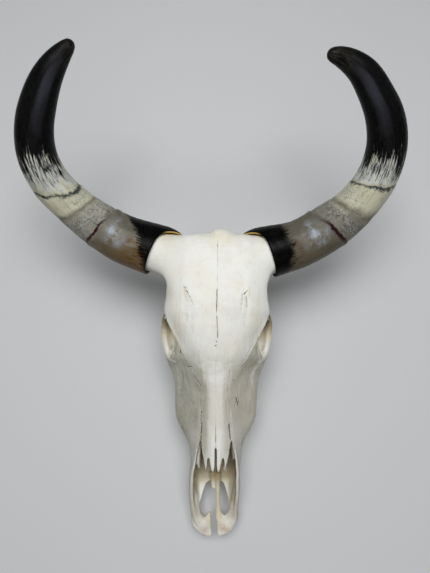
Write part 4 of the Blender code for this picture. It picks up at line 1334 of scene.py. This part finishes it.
def sheath_relief(grain, s, seasons):
    """Growth rings, slight flutes and waves in the surface, in mm."""
    relief = 0.30 * lattice_noise(grain * [1 / 22, 1 / 22, 1 / 30], 33)
    relief += 0.10 * lattice_noise(grain * [1 / 5, 1 / 5, 1 / 60], 34)
    for place, depth, rise in ((seasons[1], 1.5, 0.9), (seasons[2], 0.5, 0.3), (seasons[3], 0.7, 0.4)):
        relief -= depth * np.exp(-(((s - place) / 2.2) ** 2))
        relief += rise * np.exp(-(((s - place + 7) / 6) ** 2))
    for step in range(1, 7):
        relief -= 0.22 * np.exp(-(((s - seasons[1] * step / 7) / 2.5) ** 2))
    return relief


def horn_marks(obj, kept, horn):
    """Writes what the horn's material reads: grain, season, dark ends and the bore."""
    rim_dark = np.interp(degrees(kept["angle"]), RIM_ANGLES, horn["rim"])
    values = {
        "season": np.interp(kept["counted"], horn["seasons"], range(len(horn["seasons"]))),
        "rim_dark": (rim_dark - kept["along"]) * MM,
        "turn": np.sin(kept["angle"]),
        "bore": kept["bore"],
        "dusk": horn["dusk"] * smooth_step(165, 140, kept["counted"]),
        "crest": np.cos(kept["angle"] - math.radians(horn["crest"])),
    }
    for name, value in values.items():
        write(obj, name, value)
    write(obj, "grain", kept["grain"] * MM)


# ---------------------------------------------------------------------------------------------
# Materials


BUMP_STRENGTH = 0.6


class Value:
    """A number socket that Python's operators work on, each one adding a Math node."""

    def __init__(self, shader, socket):
        self.shader, self.socket = shader, socket

    def maths(self, operation, *others, clamp=False):
        sockets = {i: v for i, v in enumerate((self, *others))}
        node = self.shader.node("ShaderNodeMath", {"operation": operation, "use_clamp": clamp}, sockets)
        return Value(self.shader, node.outputs[0])

    def __add__(self, other):
        return self.maths("ADD", other)

    def __sub__(self, other):
        return self.maths("SUBTRACT", other)

    def __rsub__(self, other):
        return (self * -1.0).maths("ADD", other)

    def __mul__(self, other):
        return self.maths("MULTIPLY", other)

    __radd__, __rmul__ = __add__, __mul__

    def clamped(self):
        return self.maths("ADD", 0.0, clamp=True)

    def most(self, other):
        return self.maths("MAXIMUM", other)

    def bell(self, centre, width):
        """1 at centre, falling to 0 a width away."""
        return (1.0 - (self - centre).maths("ABSOLUTE") * (1.0 / width)).clamped()

    def step(self, low, high):
        """0 below low, 1 above high, smooth between; or the other way round."""
        settings = {"interpolation_type": "SMOOTHSTEP"}
        flip = low > high
        sockets = {"Value": self, "From Min": min(low, high), "From Max": max(low, high),
                   "To Min": 1.0 if flip else 0.0, "To Max": 0.0 if flip else 1.0}
        return Value(self.shader, self.shader.node("ShaderNodeMapRange", settings, sockets).outputs[0])


class Shader:
    """A material whose nodes are added one call each."""

    def __init__(self, name):
        self.material = bpy.data.materials.new(name)
        self.material.use_nodes = True
        self.tree = self.material.node_tree
        self.surface = self.tree.nodes["Principled BSDF"]
        self.colour = None

    def node(self, kind, settings, sockets):
        made = self.tree.nodes.new(kind)
        for key, value in settings.items():
            setattr(made, key, value)
        for key, value in sockets.items():
            self.feed(made.inputs[key], value)
        return made

    def feed(self, socket, value):
        if isinstance(value, Value):
            value = value.socket
        if isinstance(value, bpy.types.NodeSocket):
            self.tree.links.new(value, socket)
        elif hasattr(value, "__len__") and socket.type == "RGBA":
            socket.default_value = (*value[:3], 1.0)
        else:
            socket.default_value = value

    def place(self, scale=(1, 1, 1)):
        source = self.node("ShaderNodeTexCoord", {}, {}).outputs["Object"]
        return self.scaled(source, scale)

    def scaled(self, source, scale):
        return self.node("ShaderNodeMapping", {}, {"Vector": source, "Scale": scale}).outputs[0]

    def mark(self, name):
        return Value(self, self.node("ShaderNodeAttribute", {"attribute_name": name}, {}).outputs["Fac"])

    def mark_place(self, name, scale=(1, 1, 1)):
        source = self.node("ShaderNodeAttribute", {"attribute_name": name}, {}).outputs["Vector"]
        return self.scaled(source, scale)

    def noise(self, where, size, detail=3.0, roughness=0.55):
        """Noise of a feature size in metres, from 0 to 1 and mostly between 0.3 and 0.7."""
        sockets = {"Vector": where, "Scale": 1.0 / size, "Detail": detail, "Roughness": roughness}
        return Value(self, self.node("ShaderNodeTexNoise", {}, sockets).outputs["Fac"])

    def cells(self, where, size, feature="F1"):
        """Distances in a pattern of cells of a size in metres."""
        sockets = {"Vector": where, "Scale": 1.0 / size}
        made = self.node("ShaderNodeTexVoronoi", {"feature": feature}, sockets)
        return Value(self, made.outputs["Distance"])

    def mix(self, first, second, share):
        sockets = {0: share, 6: first, 7: second}
        return self.node("ShaderNodeMix", {"data_type": "RGBA"}, sockets).outputs[2]

    def coat(self, colour, share):
        """Lays a colour over what is there so far, share of it."""
        self.colour = self.mix(self.colour, colour, share)

    def bump(self, height, distance):
        sockets = {"Height": height, "Distance": distance, "Strength": BUMP_STRENGTH}
        return self.node("ShaderNodeBump", {}, sockets).outputs[0]

    def finish(self, sockets):
        for key, value in sockets.items():
            self.feed(self.surface.inputs[key], value)
        return self.material


def bone_material(c):
    s = Shader("bleached_bone")
    here = s.place()
    broad = s.noise(here, 0.055, 3)
    mottle = s.noise(here, 0.013, 4, 0.6)
    fibre = s.noise(s.place((1, 0.14, 1)), 0.0020, 4, 0.65)
    weave = s.noise(s.place((0.2, 1, 1)), 0.0016, 3, 0.6)
    speck = s.noise(here, 0.0014, 2)
    pore = s.cells(here, 0.0019)
    hair = (s.noise(s.place((1, 0.16, 1)), 0.012, 3, 0.6) - 0.5).maths("ABSOLUTE").step(0.016, 0.003)
    warm = (broad.step(0.46, 0.70) * 0.45 + mottle.step(0.54, 0.74) * 0.2).clamped()
    s.colour = s.mix(c.bleached, c.cream, warm)
    grey = (fibre.step(0.52, 0.72) * 0.35 + weave.step(0.55, 0.75) * 0.25).clamped()
    s.coat(c.olive, grey * mottle.step(0.38, 0.60) * 0.55)
    # Olive here is partly painted shade, laid by the stains on slopes, folds and sides.
    olive = (s.mark("olive") * (0.62 + mottle * 0.4 + fibre * 0.35)).clamped()
    s.coat(c.olive, olive * 0.9)
    s.coat(c.brown, hair * olive * 0.35)
    s.coat(c.beige, s.mark("beige") * 0.8)
    s.coat(c.cream, s.mark("cream"))
    # The pale mark is clean bone and, on crests, ridges and the orbits' floors, painted highlight.
    s.coat(c.bleached, s.mark("pale") * 0.85)
    s.coat(c.amber, (s.mark("amber") * (0.25 + mottle * 1.1)).clamped())
    s.coat(c.rose, s.mark("rose") * mottle.step(0.38, 0.6))
    s.coat(c.enamel, s.mark("enamel") * 0.8)
    # The brown mark is stain inside the nose and painted shade in the orbits and the slots beside the
    # palate's spurs.
    brown = (s.mark("brown") * (0.7 + mottle * 0.5)).clamped()
    s.coat(c.brown, brown * 0.92)
    s.coat(c.ochre, brown * broad.step(0.46, 0.6) * 0.6)
    hollow = s.mark("hollow").step(0.60, 1.0)
    s.coat(c.olive, hollow * 0.6)
    pits = pore.step(0.26, 0.04) * mottle.step(0.5, 0.62)
    s.coat(c.brown, pits * 0.35)
    suture = s.mark("suture").step(0.4, 0.95) * broad.step(0.46, 0.6)
    s.coat(c.brown, suture * 0.16)
    crack = (s.mark("crack") + (speck - 0.5) * 0.5).step(0.66, 0.90) * s.mark("tone")
    s.coat(c.crack, crack * 0.95)
    height = fibre * 0.5 + weave * 0.3 + mottle * 0.5 + speck * 0.25 - pits * 0.7
    return s.finish({
        "Base Color": s.colour,
        "Roughness": (0.46 + mottle * 0.22).clamped(),
        "Normal": s.bump(height, 0.0007),
    })


def horn_material(c):
    s = Shader("polished_horn")
    grain = s.mark_place("grain")
    fine = s.noise(s.mark_place("grain", (1, 1, 0.07)), 0.0011, 5, 0.7)
    streak = s.noise(s.mark_place("grain", (1, 1, 0.10)), 0.0034, 5, 0.65)
    wide = s.noise(s.mark_place("grain", (1, 1, 0.16)), 0.012, 4, 0.6)
    hoop = s.noise(s.mark_place("grain", (0.3, 0.3, 1)), 0.0013, 6, 0.75)
    cloud = s.noise(grain, 0.020, 4, 0.6)
    fleck = s.noise(grain, 0.0036, 5, 0.75)
    season, bore, turn = s.mark("season"), s.mark("bore"), s.mark("turn")
    # Grey, translucent horn near the skull, tan underneath, with dark ticks, painted shade on the
    # underside and patches of painted gloss.
    clouds = (cloud.step(0.40, 0.64) * 0.7 + streak.step(0.45, 0.7) * 0.4).clamped()
    s.colour = s.mix(c.grey, c.smoke, clouds)
    under = (turn + (wide - 0.5) * 1.2).step(0.65, 0.1) * season.step(1.06, 0.7)
    s.coat(c.tan, (under * (0.65 + cloud * 0.7)).clamped())
    s.coat(c.rust, under * season.step(0.9, 0.2) * cloud.step(0.36, 0.56) * 0.9)
    shadow = turn.step(0.5, -0.05) * season.bell(0.72, 0.5) * (0.25 + cloud * 0.5)
    s.coat(c.umber, (shadow * (1.0 + s.mark("dusk") * 0.6)).clamped())
    upper = turn.step(0.30, 0.80) * season.step(1.1, 0.7)
    s.coat(c.smoke, (upper * (0.75 + streak * 0.5)).clamped())
    s.coat(c.smoke, s.mark("dusk") * (0.6 + cloud * 0.8))
    # Patches of painted gloss: bluish reflected light on the upper middle of the horn.
    painted_gloss = season.bell(0.74, 0.30) * turn.bell(0.36, 0.62) * (cloud + hoop * 0.5).step(0.60, 0.92)
    s.coat(c.painted_gloss, (painted_gloss * 1.9).clamped())
    ticks = fine.step(0.50, 0.58) * wide.step(0.38, 0.52) * season.step(0.62, 0.1)
    s.coat(c.black, ticks * 0.9)
    # A scaly grey segment, then cream ones.
    scaly = season.bell(1.5, 0.62).most(season.bell(2.5, 0.5) * turn.step(-0.3, 0.5))
    scales = (hoop.step(0.50, 0.60) * 0.9).most(fine.step(0.55, 0.65)) * cloud.step(0.36, 0.55) * scaly
    border = s.cells(s.mark_place("grain", (0.5, 0.5, 1)), 0.0046, "DISTANCE_TO_EDGE").step(0.12, 0.03)
    border = border * scaly * fleck.step(0.42, 0.56)
    pale = (season + (cloud - 0.5) * 1.2 + (streak - 0.5) * 0.8 + turn * 0.1).step(1.75, 2.25)
    s.coat(c.cream, pale)
    shade = (fine.step(0.46, 0.70) * 0.5 + streak.step(0.48, 0.68) * 0.35).clamped()
    s.coat(c.olive, pale * shade * 0.8)
    s.coat(c.olive, season.bell(3.45, 0.4) * cloud.step(0.42, 0.62) * 0.5)
    s.coat(c.white, scales * 0.9)
    s.coat(c.black, border * 0.55)
    chalk = season.step(3.1, 3.7) * (wide + cloud * 0.5).step(0.60, 0.76) * fine.step(0.3, 0.5)
    s.coat(c.white, chalk * 0.85)
    cracks = (hoop - 0.5).maths("ABSOLUTE").step(0.012, 0.003) * cloud.step(0.48, 0.58)
    s.coat(c.black, cracks * season.bell(2.2, 0.9) * 0.7)
    # Growth rings: a dark red line, a soft brown band and a ragged blue-grey one.
    first = (season + (fleck - 0.5) * 0.16 - 1.0).maths("ABSOLUTE")
    first = (1.0 - first * (27.0 - s.mark("dusk") * 19.0)).clamped().step(0.0, 0.5)
    second = (season + (fleck - 0.5) * 0.3).bell(2.03, 0.22) * (0.3 + cloud)
    band = (season.bell(0.93, 0.12) * 0.6).most(second)
    third = (season + (cloud - 0.5) * 0.3 + (fleck - 0.5) * 0.5).bell(3.02, 0.19).step(0.0, 0.9)
    smudge = season.bell(3.4, 0.6) * (fleck + wide - 1.0).step(0.04, 0.2)
    s.coat(c.smoke, band.clamped())
    s.coat(c.ring, first * turn.step(0.95, 0.3))
    s.coat(c.slate, (third * (0.5 + cloud)).clamped().most(smudge * 0.6))
    # The black end runs down in streaks, further on the outer side; the rim is black too.
    hairs = (fine + streak * 0.5).step(0.76, 0.85) * (season + (cloud - 0.5) * 2.0).step(3.2, 4.6)
    s.coat(c.slate, hairs * 0.85)
    s.coat(c.black, hairs * season.step(3.6, 4.6) * 0.8)
    outer = turn.step(0.0, -0.9) * 0.6 + (cloud - 0.5) * 1.0
    reach = (season - 4.70) + outer + (fine - 0.5) * 1.7 + (streak - 0.5) * 2.0 + (wide - 0.5) * 2.4
    fringe = reach.step(-0.95, 0.1)
    s.coat(c.slate, (fringe * fine.step(0.40, 0.6) * 0.75).clamped())
    rim = s.mark("rim_dark") + (cloud - 0.5) * 0.03 + (streak - 0.5) * 0.024 + (fine - 0.5) * 0.032
    dark = reach.step(-0.28, 0.22).most(rim.step(-0.006, 0.005))
    s.coat(c.black, dark * 0.99)
    s.coat(c.smoke, dark * fine.step(0.58, 0.78) * cloud.step(0.42, 0.6) * 0.2)
    # A painted highlight along the crest of the black end, in place of a glint of light.
    crest = s.mark("crest").step(0.91, 1.0) * (season + (wide - 0.5) * 1.6).bell(6.55, 1.15)
    s.coat(c.painted_highlight, (dark * crest * (0.6 + fine * 1.2)).clamped())
    s.coat(c.smoke, season.step(6.9, 7.8) * streak.step(0.4, 0.65) * 0.25)
    s.coat(c.wall, bore)
    height = streak * 0.5 + fine * 0.35 + wide * 0.5 + scales * 0.5 - cracks * 0.5
    return s.finish({
        "Base Color": s.colour,
        "Roughness": (0.20 + fleck * 0.16 + scales * 0.2).clamped(),
        "Specular IOR Level": 0.055,
        "Normal": s.bump(height, 0.0006),
    })


def floor_material(c):
    s = Shader("plain_floor")
    soft = s.noise(s.place(), 0.4, 3)
    colour = s.mix(c.floor, tuple(v * 0.96 for v in c.floor), soft)
    return s.finish({"Base Color": colour, "Roughness": 0.7})


# ---------------------------------------------------------------------------------------------
# Operators


def finish_piece(obj, node, finish):
    """Gives a piece its material and smooth shading, hides the imported part that it takes the place of,
    and hangs it on the root body.
    """
    obj.data.materials.clear()
    obj.data.materials.append(finish)
    make_active(obj)
    bpy.ops.object.shade_smooth_by_angle(angle=SMOOTH_UP_TO)
    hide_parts(node)
    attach(obj, "root")


class SKULL_OT_bones(bpy.types.Operator):
    """Models the skull as one skin and parts it into its bones."""

    bl_idname = "skull.bones"
    bl_label = "Skull bones"

    def execute(self, context):
        sizes = context.scene.skull_sizes
        skin = Skin(build_skull(sizes))
        sculpt(skin)
        region_marks(skin)
        finish = bone_material(context.scene.skull_bone)
        for obj in part_bones(skin, sizes):
            node = obj.data.materials[0].name.removeprefix("patch ")
            close_bone(obj, sizes)
            obj.name = obj.data.name = bone_piece_name(node)
            finish_piece(obj, node, finish)
        return {"FINISHED"}


def bone_piece_name(node):
    bone, _, side = node.partition("_")
    return f"{bone}_bone_{side}" if side else f"{bone}_bone"


class SKULL_OT_sheaths(bpy.types.Operator):
    """Models the two polished horn sheaths."""

    bl_idname = "skull.sheaths"
    bl_label = "Horn sheaths"

    def execute(self, context):
        finish = horn_material(context.scene.skull_horn)
        for side, horn in HORNS.items():
            obj = horn_sheath(f"polished_horn_{side}", horn, context.scene.horn_sizes)
            finish_piece(obj, f"horn_sheath_{side}", finish)
        return {"FINISHED"}


FLOOR_SIZE = 12  # metres
# Each lamp: its place, the place that it points at, and its width and height, in metres.
LAMPS = {
    "key": ((0.0, 0.45, 2.3), (0, 0, 0.1), (1.7, 1.3)),
    "fill": ((0.1, -1.7, 1.7), (0, 0, 0.15), (1.8, 0.4)),
}


class SKULL_OT_stage(bpy.types.Operator):
    """Sets the plain floor, the soft lights and the camera."""

    bl_idname = "skull.stage"
    bl_label = "Stage"

    def execute(self, context):
        settings = context.scene.skull_stage
        deselect()
        bpy.ops.mesh.primitive_plane_add(size=FLOOR_SIZE)
        floor = bpy.context.object
        floor.name = floor.data.name = "floor"
        with editing():
            bpy.ops.mesh.subdivide(number_cuts=2)
        floor.data.materials.append(floor_material(settings))
        for name, (place, target, size) in LAMPS.items():
            area_light(name, place, target, size, getattr(settings, name))
        set_sky(settings.sky)
        set_camera()
        return {"FINISHED"}


def area_light(name, place, target, size, power):
    light = bpy.data.lights.new(name, "AREA")
    light.shape = "RECTANGLE"
    light.size, light.size_y = size
    light.energy = power
    obj = add_object(name, light)
    obj.location = place
    obj.rotation_euler = (Vector(target) - Vector(place)).to_track_quat("-Z", "Y").to_euler()


def set_sky(strength):
    world = bpy.data.worlds.new("studio")
    world.use_nodes = True
    background = world.node_tree.nodes["Background"]
    tree = world.node_tree
    ray = tree.nodes.new("ShaderNodeTexCoord")
    height = tree.nodes.new("ShaderNodeSeparateXYZ")
    blend = tree.nodes.new("ShaderNodeValToRGB")
    blend.color_ramp.elements[0].color = (0.42, 0.43, 0.44, 1.0)
    blend.color_ramp.elements[1].color = (0.93, 0.96, 1.0, 1.0)
    tree.links.new(ray.outputs["Generated"], height.inputs[0])
    tree.links.new(height.outputs["Z"], blend.inputs["Fac"])
    tree.links.new(blend.outputs["Color"], background.inputs["Color"])
    background.inputs["Strength"].default_value = strength
    bpy.context.scene.world = world
    bpy.context.scene.view_settings.view_transform = "Standard"


CAMERA_PLACE = np.array([0.0, -239.96, 826.9])  # over the skull, in its millimetres
CAMERA_TILT = math.radians(13.508)
PICTURE = (430, 573)


def set_camera():
    camera = bpy.data.cameras.new("camera")
    camera.sensor_width = 36
    camera.lens = PICTURE[0] / PICTURE[1] * camera.sensor_width
    obj = add_object("camera", camera)
    obj.location = (CAMERA_PLACE + ORIGIN) * MM
    obj.rotation_euler = (CAMERA_TILT, 0, 0)
    bpy.context.scene.camera = obj


class SKULL_PT_panel(bpy.types.Panel):
    """Lists the skull's sizes, its colours and the steps that make it."""

    bl_label = "Cow skull"
    bl_idname = "SKULL_PT_panel"
    bl_space_type = "VIEW_3D"
    bl_region_type = "UI"
    bl_category = "Skull"

    def draw(self, context):
        for name in SETTINGS:
            group = getattr(context.scene, name)
            box = self.layout.box()
            for key in group.__annotations__:
                box.prop(group, key)
        for operator in OPERATORS:
            self.layout.operator(operator.bl_idname)


SETTINGS = {
    "skull_sizes": SkullSizes,
    "horn_sizes": HornSizes,
    "skull_bone": BoneColours,
    "skull_horn": HornColours,
    "skull_stage": StageSettings,
}
OPERATORS = (SKULL_OT_bones, SKULL_OT_sheaths, SKULL_OT_stage)


def register():
    for cls in (*SETTINGS.values(), *OPERATORS, SKULL_PT_panel):
        bpy.utils.register_class(cls)
    for name, group in SETTINGS.items():
        setattr(bpy.types.Scene, name, PointerProperty(type=group))


def unregister():
    for name in SETTINGS:
        delattr(bpy.types.Scene, name)
    for cls in reversed((*SETTINGS.values(), *OPERATORS, SKULL_PT_panel)):
        bpy.utils.unregister_class(cls)


def main():
    register()
    bpy.ops.skull.bones()
    bpy.ops.skull.sheaths()
    bpy.ops.skull.stage()


if __name__ == "__main__":
    main()
